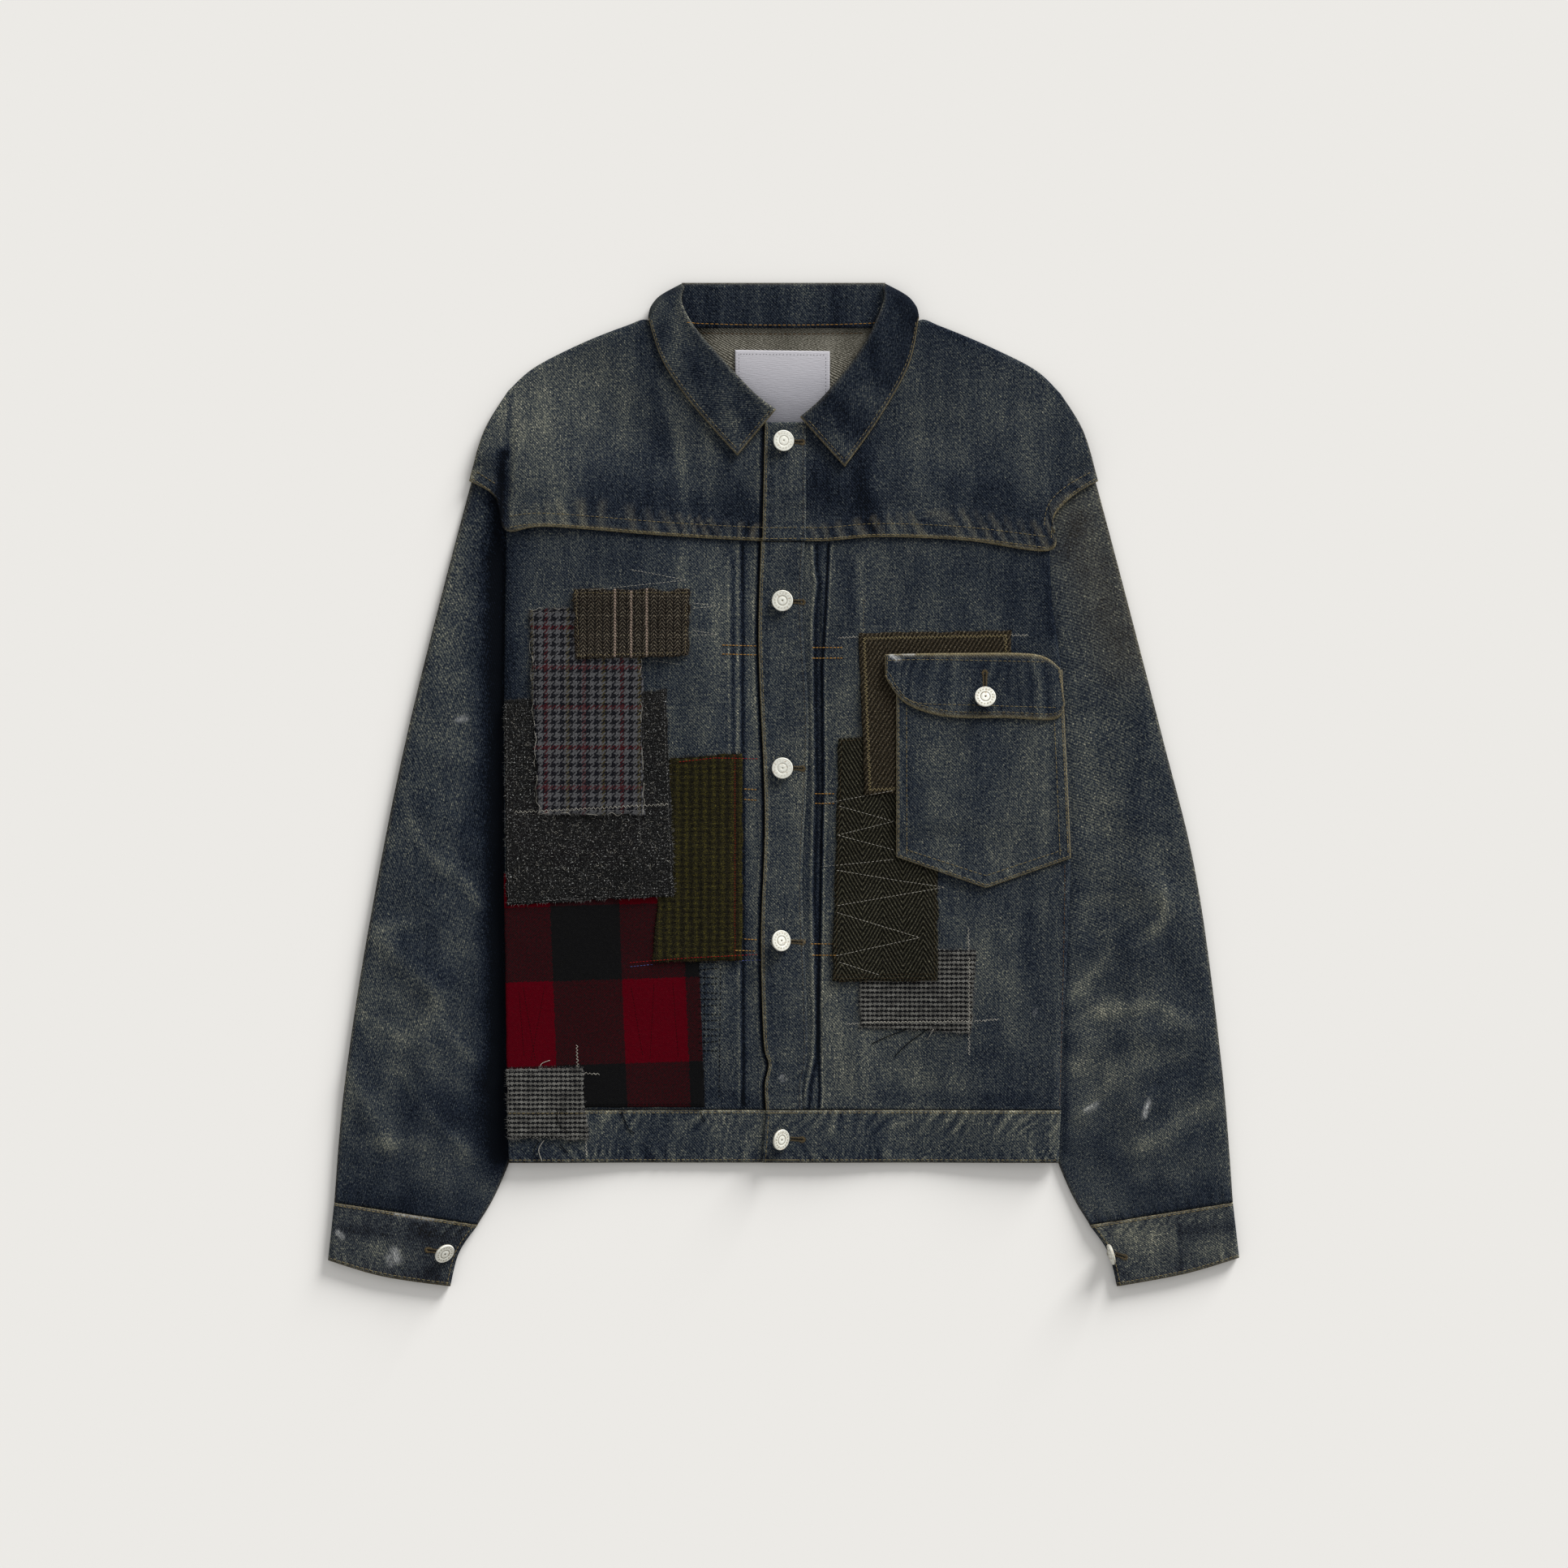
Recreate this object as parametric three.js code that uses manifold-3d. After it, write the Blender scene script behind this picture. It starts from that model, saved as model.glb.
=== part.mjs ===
// A patched denim jacket, laid flat on its back with the sleeves drawn down behind the body.
// Millimetres. Seen from above, +X is to the right and +Y towards the collar; +Z is up from the
// table, which is z = 0. Left and right in names are the wearer's, so a right piece lies at -X.
import * as THREE from 'three';
import { mergeVertices } from 'three/addons/utils/BufferGeometryUtils.js';
import Module from 'manifold-3d';

const wasm = await Module();
wasm.setup();

// Walls and clearances
const DENIM = 1.5; // one layer of denim
const BAND = 2.2; // a doubled piece: waistband, cuff, collar, pocket flap
const WOOL = 1.2; // a patch
const LABEL = 1.0; // the neck label
const GAP = 0.35; // between layers, and at seams that meet edge to edge
const INSIDE = 1.0; // between the front and the back at the edges of the body
const CELL = 20; // a layer reaches this far past what it covers before it comes down

// Heights of the lay
const SLEEVE_FLAT = 4.6; // a sleeve under the body
const SLEEVE_LOFT = 6.8; // a sleeve that lies free
const CUFF_HEIGHT = 7.2;
const BODY_LOFT = 1.6; // air between front and back in the middle of the body
const PLEAT = 1.4; // a front pleat stands this much above the strip beside it
const BODY_HALF = 224; // half the width of the body

// Levels across the body
const WAIST_TOP = -261;
const HEM = -303;
const NECK_FRONT = 290; // top of the front edge
const YOKE_SEAM = 195; // at the front edge
const YOKE_LAP = 8; // the fronts run this far up under the yokes
const UNDERLAP = 12; // the right front ends here, under the placket
const OVERLAP = UNDERLAP + GAP; // and the left front starts here

// Buttons
const BUTTON_R = 8.5;
const BUTTON_HIGH = 4.2;

const smooth = THREE.MathUtils.smoothstep;

// Outlines

// Distance from a point to a convex outline, nought inside it.
function outside(x, y, outline) {
  let inside = 0;
  let nearest = Infinity;
  const point = new THREE.Vector3(x, y, 0);
  const close = new THREE.Vector3();
  outline.forEach(([ax, ay], i) => {
    const [bx, by] = outline[(i + 1) % outline.length];
    inside += Math.sign((bx - ax) * (y - ay) - (by - ay) * (x - ax));
    const side = new THREE.Line3(new THREE.Vector3(ax, ay, 0), new THREE.Vector3(bx, by, 0));
    side.closestPointToPoint(point, true, close);
    nearest = Math.min(nearest, close.distanceTo(point));
  });
  return Math.abs(inside) === outline.length ? 0 : nearest;
}

// One over an outline and a cell around it, coming down to nought over the ramp.
const over = (x, y, outline, ramp) => 1 - smooth(outside(x, y, outline), CELL, CELL + ramp);

const mirrored = (points) => points.map(([x, y]) => [-x, y]);
const raisedBy = (points, dy) => points.map(([x, y]) => [x, y + dy]);

// A side of a panel: a line, or a smooth curve through the points, walked by its length.
function sideCurve(points) {
  const vectors = points.map(([x, y]) => new THREE.Vector2(x, y));
  return vectors.length === 2 ? new THREE.LineCurve(...vectors) : new THREE.SplineCurve(vectors);
}

// A point of a four-sided panel: bottom and top run towards +X, left and right towards +Y.
function planOf({ bottom, top, left, right }) {
  const [b, t, l, r] = [bottom, top, left, right].map(sideCurve);
  const corners = [b.getPoint(0), b.getPoint(1), t.getPoint(0), t.getPoint(1)];
  return (u, v) => {
    const weights = [(1 - u) * (1 - v), u * (1 - v), (1 - u) * v, u * v];
    const plan = b.getPointAt(u).multiplyScalar(1 - v);
    plan.addScaledVector(t.getPointAt(u), v);
    plan.addScaledVector(l.getPointAt(v), 1 - u);
    plan.addScaledVector(r.getPointAt(v), u);
    corners.forEach((corner, i) => plan.addScaledVector(corner, -weights[i]));
    return plan;
  };
}

const quad = ([bl, br, tr, tl]) => ({
  bottom: [bl, br],
  top: [tl, tr],
  left: [bl, tl],
  right: [br, tr],
});

// Solids

function closed(geometry) {
  geometry.deleteAttribute('normal');
  geometry.deleteAttribute('uv');
  const merged = mergeVertices(geometry, 1e-4);
  merged.computeVertexNormals();
  return merged;
}

function moveVertices(geometry, place) {
  const position = geometry.getAttribute('position');
  const vertex = new THREE.Vector3();
  for (let i = 0; i < position.count; i += 1) {
    place(vertex.fromBufferAttribute(position, i));
    position.setXYZ(i, vertex.x, vertex.y, vertex.z);
  }
  return closed(geometry);
}

const evenly = (count) => Array.from({ length: count + 1 }, (_, i) => i / count);

// A cloth wall over a plan. under(x, y) is the height of its lower face, and columns and rows
// are the shares of the plan's width and length where its vertices lie.
function panel(sides, under, wall, columns, rows) {
  const plan = planOf(sides);
  const across = Array.isArray(columns) ? columns : evenly(columns);
  const along = Array.isArray(rows) ? rows : evenly(rows);
  const [nu, nv] = [across.length - 1, along.length - 1];
  return moveVertices(new THREE.BoxGeometry(1, 1, 1, nu, nv, 1), (p) => {
    const { x, y } = plan(across[Math.round((p.x + 0.5) * nu)], along[Math.round((p.y + 0.5) * nv)]);
    p.set(x, y, under(x, y) + (p.z > 0 ? wall : 0));
  });
}

// A flattened tube over a plan, open at both ends: its lower side lies on the table and its
// upper side is top(x, y) high.
function tube(sides, top, wall, ringCount, rowCount) {
  const plan = planOf(sides);
  const rows = evenly(rowCount);
  const outer = rows.map((v) => new THREE.Vector2(2, v));
  const inner = rows.map((v) => new THREE.Vector2(1, v)).reverse();
  const profile = [...outer, ...inner, outer[0]];
  return moveVertices(new THREE.LatheGeometry(profile, ringCount), (p) => {
    const isInner = Math.hypot(p.x, p.z) < 1.5;
    const angle = Math.atan2(p.x, p.z);
    const [s, c] = [Math.sin(angle), Math.cos(angle)];
    const width = plan(0, p.y).distanceTo(plan(1, p.y));
    const inset = isInner ? 1 - (2 * wall) / width : 1;
    const { x, y } = plan(0.5 + 0.5 * s * inset, p.y);
    const high = top(x, y);
    const fullness = Math.min(1, Math.abs(c) * 2.4) ** 0.8;
    const face = c > 0 ? high : 0;
    const thickness = isInner ? wall * fullness * Math.sign(face - high / 2) : 0;
    p.set(x, y, THREE.MathUtils.lerp(high / 2, face, fullness) - thickness);
  });
}

function manifoldOf(geometry) {
  const vertProperties = new Float32Array(geometry.getAttribute('position').array);
  const triVerts = new Uint32Array(geometry.index.array);
  return new wasm.Manifold(new wasm.Mesh({ numProp: 3, vertProperties, triVerts }));
}

// Several overlapping geometries as one closed solid.
function joined(geometries) {
  const whole = geometries.map(manifoldOf).reduce((a, b) => a.add(b)).getMesh();
  const geometry = new THREE.BufferGeometry();
  geometry.setAttribute('position', new THREE.BufferAttribute(whole.vertProperties, 3));
  geometry.setIndex(new THREE.BufferAttribute(whole.triVerts, 1));
  geometry.computeVertexNormals();
  return geometry;
}

const jacket = new THREE.Group();

function add(name, geometry, { color, roughness = 0.9, metalness = 0 }) {
  const material = new THREE.MeshStandardMaterial({ color, roughness, metalness });
  const mesh = new THREE.Mesh(geometry, material);
  mesh.name = name;
  jacket.add(mesh);
  return mesh;
}

const INDIGO = { color: 0x39434f };
const INDIGO_DARK = { color: 0x2c3542 };
const NICKEL = { color: 0xd8d6cc, roughness: 0.45, metalness: 0.7 };

// Sleeves

const ARMHOLE_RIGHT = [[-246, 252], [-205, 238], [-150, 185], [-110, 115], [-100, 45]];
const SLEEVE_INNER_RIGHT = [[-245, -352.6], [-220, -303], [-163, -139], [-100, 45]];
const SLEEVE_OUTER_RIGHT = [
  [-360, -334.6], [-352, -243], [-333, -118], [-301, 43], [-253, 232], [-246, 252],
];
const SLEEVE_OUTER_LEFT = [
  [360, -334.6], [351, -225], [331, -76], [303, 40], [253, 232], [246, 252],
];
const SLEEVE_RIGHT = {
  bottom: [[-360, -334.6], [-245, -352.6]],
  top: ARMHOLE_RIGHT,
  left: SLEEVE_OUTER_RIGHT,
  right: SLEEVE_INNER_RIGHT,
};
const SLEEVE_LEFT = {
  bottom: [[245, -352.6], [360, -334.6]],
  top: mirrored(ARMHOLE_RIGHT).reverse(),
  left: mirrored(SLEEVE_INNER_RIGHT),
  right: SLEEVE_OUTER_LEFT,
};
const CUFF_RIGHT = {
  bottom: [[-365, -381], [-321, -394], [-267, -402]],
  top: [[-360, -335], [-245, -353]],
  left: [[-365, -381], [-360, -335]],
  right: [[-267, -402], [-260, -375], [-245, -353]],
};
const CUFF_LEFT = {
  bottom: [[267, -402], [321, -392], [365, -379]],
  top: [[245, -353], [360, -335]],
  left: mirrored(CUFF_RIGHT.right),
  right: [[365, -379], [360, -335]],
};

// Elbow and wrist creases: ends, half-width and height of each ridge on the upper side.
const CREASES = [
  { from: [-268, -67], to: [-243, -91], half: 11, high: 1.3 },
  { from: [-321, -124], to: [-276, -165], half: 13, high: 1.5 },
  { from: [-279, -165], to: [-291, -225], half: 11, high: 1.1 },
  { from: [-350, -231], to: [-318, -288], half: 12, high: 1.3 },
  { from: [284, -76], to: [326, -112], half: 13, high: 1.4 },
  { from: [252, -176], to: [312, -128], half: 12, high: 1.3 },
  { from: [262, -205], to: [330, -196], half: 12, high: 1.2 },
  { from: [284, -262], to: [344, -232], half: 12, high: 1.2 },
];

function creaseHeight(x, y) {
  return CREASES.reduce((height, { from, to, half, high }) => {
    const line = new THREE.Line3(new THREE.Vector3(...from, 0), new THREE.Vector3(...to, 0));
    const point = new THREE.Vector3(x, y, 0);
    const near = line.closestPointToPoint(point, true, new THREE.Vector3());
    return height + high * Math.exp(-((near.distanceTo(point) / half) ** 2));
  }, 0);
}

// What lies over a sleeve: the body below the yoke seam, and the shoulder above it.
const BODY_BOX = [
  [-BODY_HALF, HEM], [BODY_HALF + 6, HEM], [BODY_HALF + 6, YOKE_SEAM], [-BODY_HALF, YOKE_SEAM],
];
const SHOULDER_RIGHT = [[-200, 190], [-200, 336], [-236, 291], [-252, 243], [-222, 190]];
const SHOULDER_LEFT = mirrored(SHOULDER_RIGHT);

function sleeveTop(x, y) {
  const clear = Math.min(...[BODY_BOX, SHOULDER_RIGHT, SHOULDER_LEFT].map((o) => outside(x, y, o)));
  const free = smooth(clear, CELL, CELL + 40);
  return SLEEVE_FLAT + free * (SLEEVE_LOFT - SLEEVE_FLAT + creaseHeight(x, y));
}

const SLEEVE_RING = 24;
const SLEEVE_ROWS = 18;
add('sleeve_right', tube(SLEEVE_RIGHT, sleeveTop, DENIM, SLEEVE_RING, SLEEVE_ROWS), INDIGO);
add('sleeve_left', tube(SLEEVE_LEFT, sleeveTop, DENIM, SLEEVE_RING, SLEEVE_ROWS), INDIGO);

const cuffTop = () => CUFF_HEIGHT;
add('cuff_right', tube(CUFF_RIGHT, cuffTop, BAND, 16, 3), INDIGO_DARK);
add('cuff_left', tube(CUFF_LEFT, cuffTop, BAND, 16, 3), INDIGO_DARK);

// Lay of the body: the back rests on the table, on the sleeves and on the collar's fall.

const SLEEVE_AREA_RIGHT = [...ARMHOLE_RIGHT, [-220, -303], [-245, -353], [-360, -335]];
const SLEEVE_AREA_LEFT = mirrored(SLEEVE_AREA_RIGHT);
const FALL_AREA = [[-80, 402], [80, 402], [110, 374], [92, 350], [-92, 350], [-110, 374]];
const LABEL_AREA = [[-39, 284], [37, 284], [37, 347], [-39, 348]];
const BODY_RAMP = 90;
const NECK_RAMP = 60;

function backUnder(x, y) {
  const sleeves = Math.max(
    over(x, y, SLEEVE_AREA_RIGHT, BODY_RAMP),
    over(x, y, SLEEVE_AREA_LEFT, BODY_RAMP),
  );
  return sleeves * (SLEEVE_FLAT + GAP) + over(x, y, FALL_AREA, NECK_RAMP) * (BAND + GAP);
}

const backTop = (x, y) => backUnder(x, y) + DENIM;

function frontUnder(x, y) {
  const loft = Math.max(0, 1 - (x / BODY_HALF) ** 2) * Math.max(0, 1 - (y / 350) ** 2);
  const label = over(x, y, LABEL_AREA, NECK_RAMP) * (LABEL + GAP);
  return backTop(x, y) + INSIDE + label + BODY_LOFT * loft;
}

// Back, from the waistband to the shoulders and the back of the neck

const BACK_SIDE_RIGHT = [
  [-221, WAIST_TOP], [-223, 56], [-222, 180], [-249, 240], [-234, 291], [-200, 333], [-126, 366],
];
const BACK = {
  bottom: [[-221, WAIST_TOP], [221, WAIST_TOP]],
  top: [[-126, 366], [-98, 371], [-66, 374], [0, 373], [66, 374], [98, 371], [126, 366]],
  left: BACK_SIDE_RIGHT,
  right: [
    [221, WAIST_TOP], [228, -54], [222, 82], [213, 180], [249, 240], [234, 291], [200, 333], [126, 366],
  ],
};
add('back', panel(BACK, backUnder, DENIM, 16, 20), INDIGO_DARK);

const WAIST_BACK = quad([
  [-220, HEM], [220, HEM], [221, WAIST_TOP - GAP], [-221, WAIST_TOP - GAP],
]);
add('waistband_back', panel(WAIST_BACK, backUnder, DENIM, 16, 2), INDIGO_DARK);

// Fronts, each with its pleat beside the placket

const YOKE_EDGE_RIGHT = [[-222, 203], [-189, 206], [-95, 199], [-19, YOKE_SEAM], [UNDERLAP, YOKE_SEAM]];
const YOKE_EDGE_LEFT = [[OVERLAP, YOKE_SEAM], [36, YOKE_SEAM], [78, 198], [146, 195], [213, 187]];
const PLEAT_FOLD_RIGHT = -34.5;
const PLEAT_FOLD_LEFT = 31;
const PLEAT_STEP = 2; // the fold drops to the strip over this width
const PLEAT_FULL = 26; // depth of the pleat behind its fold
const PLEAT_FADE = 26; // and the width over which its underlay thins out

const behindFold = (x) => (x < 0 ? PLEAT_FOLD_RIGHT - x : x - PLEAT_FOLD_LEFT);

// Height of the pleat's layers at its fold and behind it; sewn flat at the waist and the yoke.
function pleatHeight(x, y) {
  const sewn = smooth(y, -256, -206) * (1 - smooth(y, 130, 184));
  return PLEAT * sewn * (1 - smooth(behindFold(x), PLEAT_FULL, PLEAT_FULL + PLEAT_FADE));
}

const frontWithPleat = (x, y) =>
  frontUnder(x, y) + pleatHeight(x, y) * smooth(behindFold(x), -PLEAT_STEP, 0);
const clearOfFront = (x, y) => frontUnder(x, y) + pleatHeight(x, y) + DENIM + GAP;

// Shares of a front's width, with columns at the pleat's fold, foot, depth and fade.
function frontColumns(start, end, inner) {
  const folds = start < 0
    ? [PLEAT_FOLD_RIGHT - PLEAT_FULL - PLEAT_FADE, PLEAT_FOLD_RIGHT - PLEAT_FULL - PLEAT_FADE / 2,
      PLEAT_FOLD_RIGHT - PLEAT_FULL, PLEAT_FOLD_RIGHT, PLEAT_FOLD_RIGHT + PLEAT_STEP]
    : [PLEAT_FOLD_LEFT - PLEAT_STEP, PLEAT_FOLD_LEFT, PLEAT_FOLD_LEFT + PLEAT_FULL,
      PLEAT_FOLD_LEFT + PLEAT_FULL + PLEAT_FADE / 2, PLEAT_FOLD_LEFT + PLEAT_FULL + PLEAT_FADE];
  const edges = [start, ...folds, ...inner, end].sort((a, b) => a - b);
  return edges.map((x) => (x - start) / (end - start));
}

const FRONT_RIGHT = {
  bottom: [[-221, WAIST_TOP + GAP], [UNDERLAP, WAIST_TOP + GAP]],
  top: raisedBy(YOKE_EDGE_RIGHT, YOKE_LAP),
  left: [[-221, WAIST_TOP + GAP], [-223, -95], [-224, 56], [-222, 203 + YOKE_LAP]],
  right: [[UNDERLAP, WAIST_TOP + GAP], [UNDERLAP, YOKE_SEAM + YOKE_LAP]],
};
const FRONT_LEFT = {
  bottom: [[OVERLAP, WAIST_TOP + GAP], [222, WAIST_TOP + GAP]],
  top: raisedBy(YOKE_EDGE_LEFT, YOKE_LAP),
  left: [[OVERLAP, WAIST_TOP + GAP], [OVERLAP, YOKE_SEAM + YOKE_LAP]],
  right: [
    [222, WAIST_TOP + GAP], [223, -217], [230, -54], [223, 82], [215, 147], [213, 187 + YOKE_LAP],
  ],
};
const FRONT_ROWS = 18;
const RIGHT_COLUMNS = frontColumns(-221, UNDERLAP, [-205, -182, -158, -134, -110, -16, 0]);
const LEFT_COLUMNS = frontColumns(OVERLAP, 222, [20, 104, 126, 148, 170, 190, 207]);
add('front_right', panel(FRONT_RIGHT, frontWithPleat, DENIM, RIGHT_COLUMNS, FRONT_ROWS), INDIGO);
add('front_left', panel(FRONT_LEFT, frontWithPleat, DENIM, LEFT_COLUMNS, FRONT_ROWS), INDIGO);

// Yokes, lapped over the fronts. The right one has a fold where the shoulder drops behind.

const LAP = DENIM + GAP;
const LAP_LEVEL = 229; // full lap up to this level
const LAP_RAMP = 50;
const FOLD_HIGH = 2.2;

const yokeUnder = (x, y) => frontUnder(x, y) + LAP * (1 - smooth(y, LAP_LEVEL, LAP_LEVEL + LAP_RAMP));

function shoulderFold(x, y) {
  const inward = x + BODY_HALF - 4;
  const length = smooth(y, 196, 206) * (1 - smooth(y, 225, 320));
  return FOLD_HIGH * length * smooth(inward, -10, 6) * (1 - smooth(inward, 16, 90));
}

const rightYokeUnder = (x, y) => yokeUnder(x, y) + shoulderFold(x, y);
const NECK_RIGHT = [[-126, 366], [-98, 362], [-62, 320], [-20, 292], [UNDERLAP, NECK_FRONT]];
const YOKE_RIGHT = {
  bottom: [[-252, 243], [-231, 230], ...YOKE_EDGE_RIGHT],
  top: [[-211, 329], [-163, 353], ...NECK_RIGHT],
  left: [[-252, 243], [-236, 291], [-211, 329]],
  right: [[UNDERLAP, YOKE_SEAM], [UNDERLAP, NECK_FRONT]],
};
const YOKE_LEFT = {
  bottom: [...YOKE_EDGE_LEFT, [216, 213], [232, 231], [252, 243]],
  top: [[OVERLAP, NECK_FRONT], [20, 292], [62, 320], [98, 362], [126, 366], [167, 350], [213, 325]],
  left: [[OVERLAP, YOKE_SEAM], [OVERLAP, NECK_FRONT]],
  right: [[252, 243], [236, 293], [213, 325]],
};
add('yoke_right', panel(YOKE_RIGHT, rightYokeUnder, DENIM, 18, 8), INDIGO);
add('yoke_left', panel(YOKE_LEFT, yokeUnder, DENIM, 18, 8), INDIGO);

// Waistband: the left end laps over the right one

const waistUnder = (x, y) =>
  frontUnder(x, y) + (BAND + GAP) * (1 - smooth(x, UNDERLAP + CELL, UNDERLAP + CELL + 60));
const WAIST_RIGHT = quad([
  [-220, HEM], [UNDERLAP, HEM], [UNDERLAP, WAIST_TOP], [-221, WAIST_TOP],
]);
const WAIST_LEFT = quad([[-17, HEM], [220, HEM], [222, WAIST_TOP], [-14, WAIST_TOP]]);
add('waistband_right', panel(WAIST_RIGHT, frontUnder, BAND, 12, 2), INDIGO);
add('waistband_left', panel(WAIST_LEFT, waistUnder, BAND, 12, 2), INDIGO);

// Placket: the front edge of the left side, below the yoke seam and on the yoke

const placketUnder = (x, y) => frontUnder(x, y) + LAP;
const PLACKET = {
  bottom: [[-14, WAIST_TOP + GAP], [15, WAIST_TOP + GAP]],
  top: [[-18, YOKE_SEAM - GAP], [17, YOKE_SEAM - GAP]],
  left: [
    [-14, WAIST_TOP + GAP], [-15, -240], [-12, -224], [-16, -204], [-18, -120],
    [-15, -22], [-20, 108], [-18, YOKE_SEAM - GAP],
  ],
  right: [
    [15, WAIST_TOP + GAP], [15, -240], [19, -215], [18, -160], [15, -73],
    [20, 43], [15, 139], [17, YOKE_SEAM - GAP],
  ],
};
add('placket', panel(PLACKET, placketUnder, BAND, 2, 22), INDIGO);

const yokePlacketUnder = (x, y) => yokeUnder(x, y) + DENIM + GAP;
const PLACKET_TOP = [[-17, YOKE_SEAM], [18, YOKE_SEAM], [18, NECK_FRONT], [-15, NECK_FRONT]];
add('placket_yoke', panel(quad(PLACKET_TOP), yokePlacketUnder, DENIM, 2, 6), INDIGO);

// Pieces that lie on the fronts

// A layer over what is below it: base(x, y), lifted over each piece that it covers.
function laidOn(base, pieces) {
  return (x, y) => pieces.reduce((height, { area, top }) => {
    const lift = over(x, y, area, 34) * (top(x, y) + GAP - base(x, y));
    return Math.max(height, base(x, y) + lift);
  }, base(x, y));
}

function layPatch(name, area, below, color, columns, rows, base = clearOfFront) {
  const under = laidOn(base, below);
  add(name, panel(quad(area), under, WOOL, columns, rows), { color, roughness: 1 });
  return { area, top: (x, y) => under(x, y) + WOOL };
}

// Patches of the right front, from the lowest up
const redPlaid = layPatch(
  'patch_red_plaid', [[-221, -258.5], [-63, -258.5], [-70, -87], [-224, -71]], [], 0x4a0c14, 10, 10);
const olive = layPatch(
  'patch_olive_check', [[-105, -142], [-33, -141], [-33, 25], [-91, 21]], [redPlaid], 0x2b2713, 5, 10);
const charcoal = layPatch(
  'patch_charcoal', [[-222, -97], [-87, -89], [-94, 76], [-224, 67]], [redPlaid, olive], 0x2a2b2c, 8, 10);
const houndstooth = layPatch(
  'patch_houndstooth', [[-196, -24], [-112, -24], [-114, 144], [-204, 140]], [charcoal], 0x4a484a, 6, 10);
layPatch(
  'patch_brown_stripe', [[-166, 100], [-76, 103], [-75, 156], [-169, 156]], [houndstooth], 0x3a2f26, 6, 4);

const waistStep = (x, y) => clearOfFront(x, y) + (BAND - DENIM) * (1 - smooth(y, -250, -228));
layPatch('patch_grey_check_right', [[-221, -284], [-156, -284], [-161, -226], [-222, -228]],
  [redPlaid], 0x55534e, 4, 4, waistStep);

// Patches of the left front, the pocket and its flap
const greyCheck = layPatch(
  'patch_grey_check_left', [[61, -195], [150, -199], [154, -132], [61, -132]], [], 0x55534e, 6, 4);
const herringbone = layPatch(
  'patch_herringbone', [[39, -158], [123, -157], [124, 40], [44, 37]], [greyCheck], 0x23211a, 6, 12);
const brownTwill = layPatch(
  'patch_brown_twill', [[65, -9], [182, -2], [182, 123], [60, 121]], [herringbone], 0x33271a, 7, 8);

const POCKET_POINT = [162, -83];
const POCKET_AREA = [[90, -58], POCKET_POINT, [230, -59], [223, 92], [90, 92]];
const POCKET = {
  bottom: [[90, -58], [126, -70.5], POCKET_POINT, [196, -71], [230, -59]],
  top: [[90, 92], [223, 92]],
  left: [[90, -58], [90, 92]],
  right: [[230, -59], [223, 92]],
};
const pocketUnder = laidOn(clearOfFront, [greyCheck, herringbone, brownTwill]);
add('pocket', panel(POCKET, pocketUnder, DENIM, 8, 9), INDIGO);
const pocket = { area: POCKET_AREA, top: (x, y) => pocketUnder(x, y) + DENIM };

const flapUnder = laidOn(clearOfFront, [brownTwill, pocket]);
const FLAP = {
  bottom: [[81, 86], [97, 65], [130, 54], [179, 53], [217, 52], [225, 64]],
  top: [[81, 104], [140, 105], [201, 104], [221, 93]],
  left: [[81, 86], [81, 104]],
  right: [[225, 64], [223, 78], [221, 93]],
};
add('pocket_flap', panel(FLAP, flapUnder, BAND, 10, 4), INDIGO_DARK);

// Neck: label and collar

add('neck_label', panel(quad(LABEL_AREA), (x, y) => backTop(x, y) + GAP, LABEL, 4, 3),
  { color: 0xb4b3b8, roughness: 0.6 });

const COLLAR_TOP = 402;
const leafUnder = (x, y) =>
  yokeUnder(x, y) + LAP + over(x, y, PLACKET_TOP, 40) * (DENIM + GAP);
const standUnder = (x, y) => backTop(x, y) + GAP;
const onTable = () => 0;

const LEAF_RIGHT = {
  bottom: [[-37, 263], [-6, 300]],
  top: [[-109, 376], [-80, COLLAR_TOP - 2]],
  left: [[-37, 263], [-74, 305], [-97, 339], [-109, 376]],
  right: [[-6, 300], [-26, 316], [-67, 361], [-82, 384], [-80, COLLAR_TOP - 2]],
};
const LEAF_LEFT = {
  bottom: [[13, 294], [49, 254]],
  top: [[80, COLLAR_TOP - 2], [109, 376]],
  left: [[13, 294], [33, 312], [62, 349], [79, 384], [80, COLLAR_TOP - 2]],
  right: [[49, 254], [76, 292], [100, 335], [109, 376]],
};
const STAND = {
  bottom: [[-84, 368], [-44, 366], [0, 365], [44, 366], [82, 368]],
  top: [[-84, COLLAR_TOP - 3], [82, COLLAR_TOP - 3]],
  left: [[-84, 368], [-84, COLLAR_TOP - 3]],
  right: [[82, 368], [82, COLLAR_TOP - 3]],
};
const FALL = {
  bottom: [[-92, 352], [92, 352]],
  top: [[-80, COLLAR_TOP - 3], [80, COLLAR_TOP - 3]],
  left: [[-92, 352], [-108, 374], [-80, COLLAR_TOP - 3]],
  right: [[92, 352], [108, 374], [80, COLLAR_TOP - 3]],
};

// A folded edge of the collar: a round rod along the fold, as high as both layers.
function foldedEdge([ax, ay], [bx, by], radius) {
  const [from, to] = [new THREE.Vector3(ax, ay, radius), new THREE.Vector3(bx, by, radius)];
  const rod = new THREE.CylinderGeometry(radius, radius, from.distanceTo(to), 10);
  const along = new THREE.Vector3().subVectors(to, from).normalize();
  rod.applyQuaternion(new THREE.Quaternion().setFromUnitVectors(new THREE.Vector3(0, 1, 0), along));
  rod.translate(...from.add(to).multiplyScalar(0.5));
  return closed(rod);
}

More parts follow.
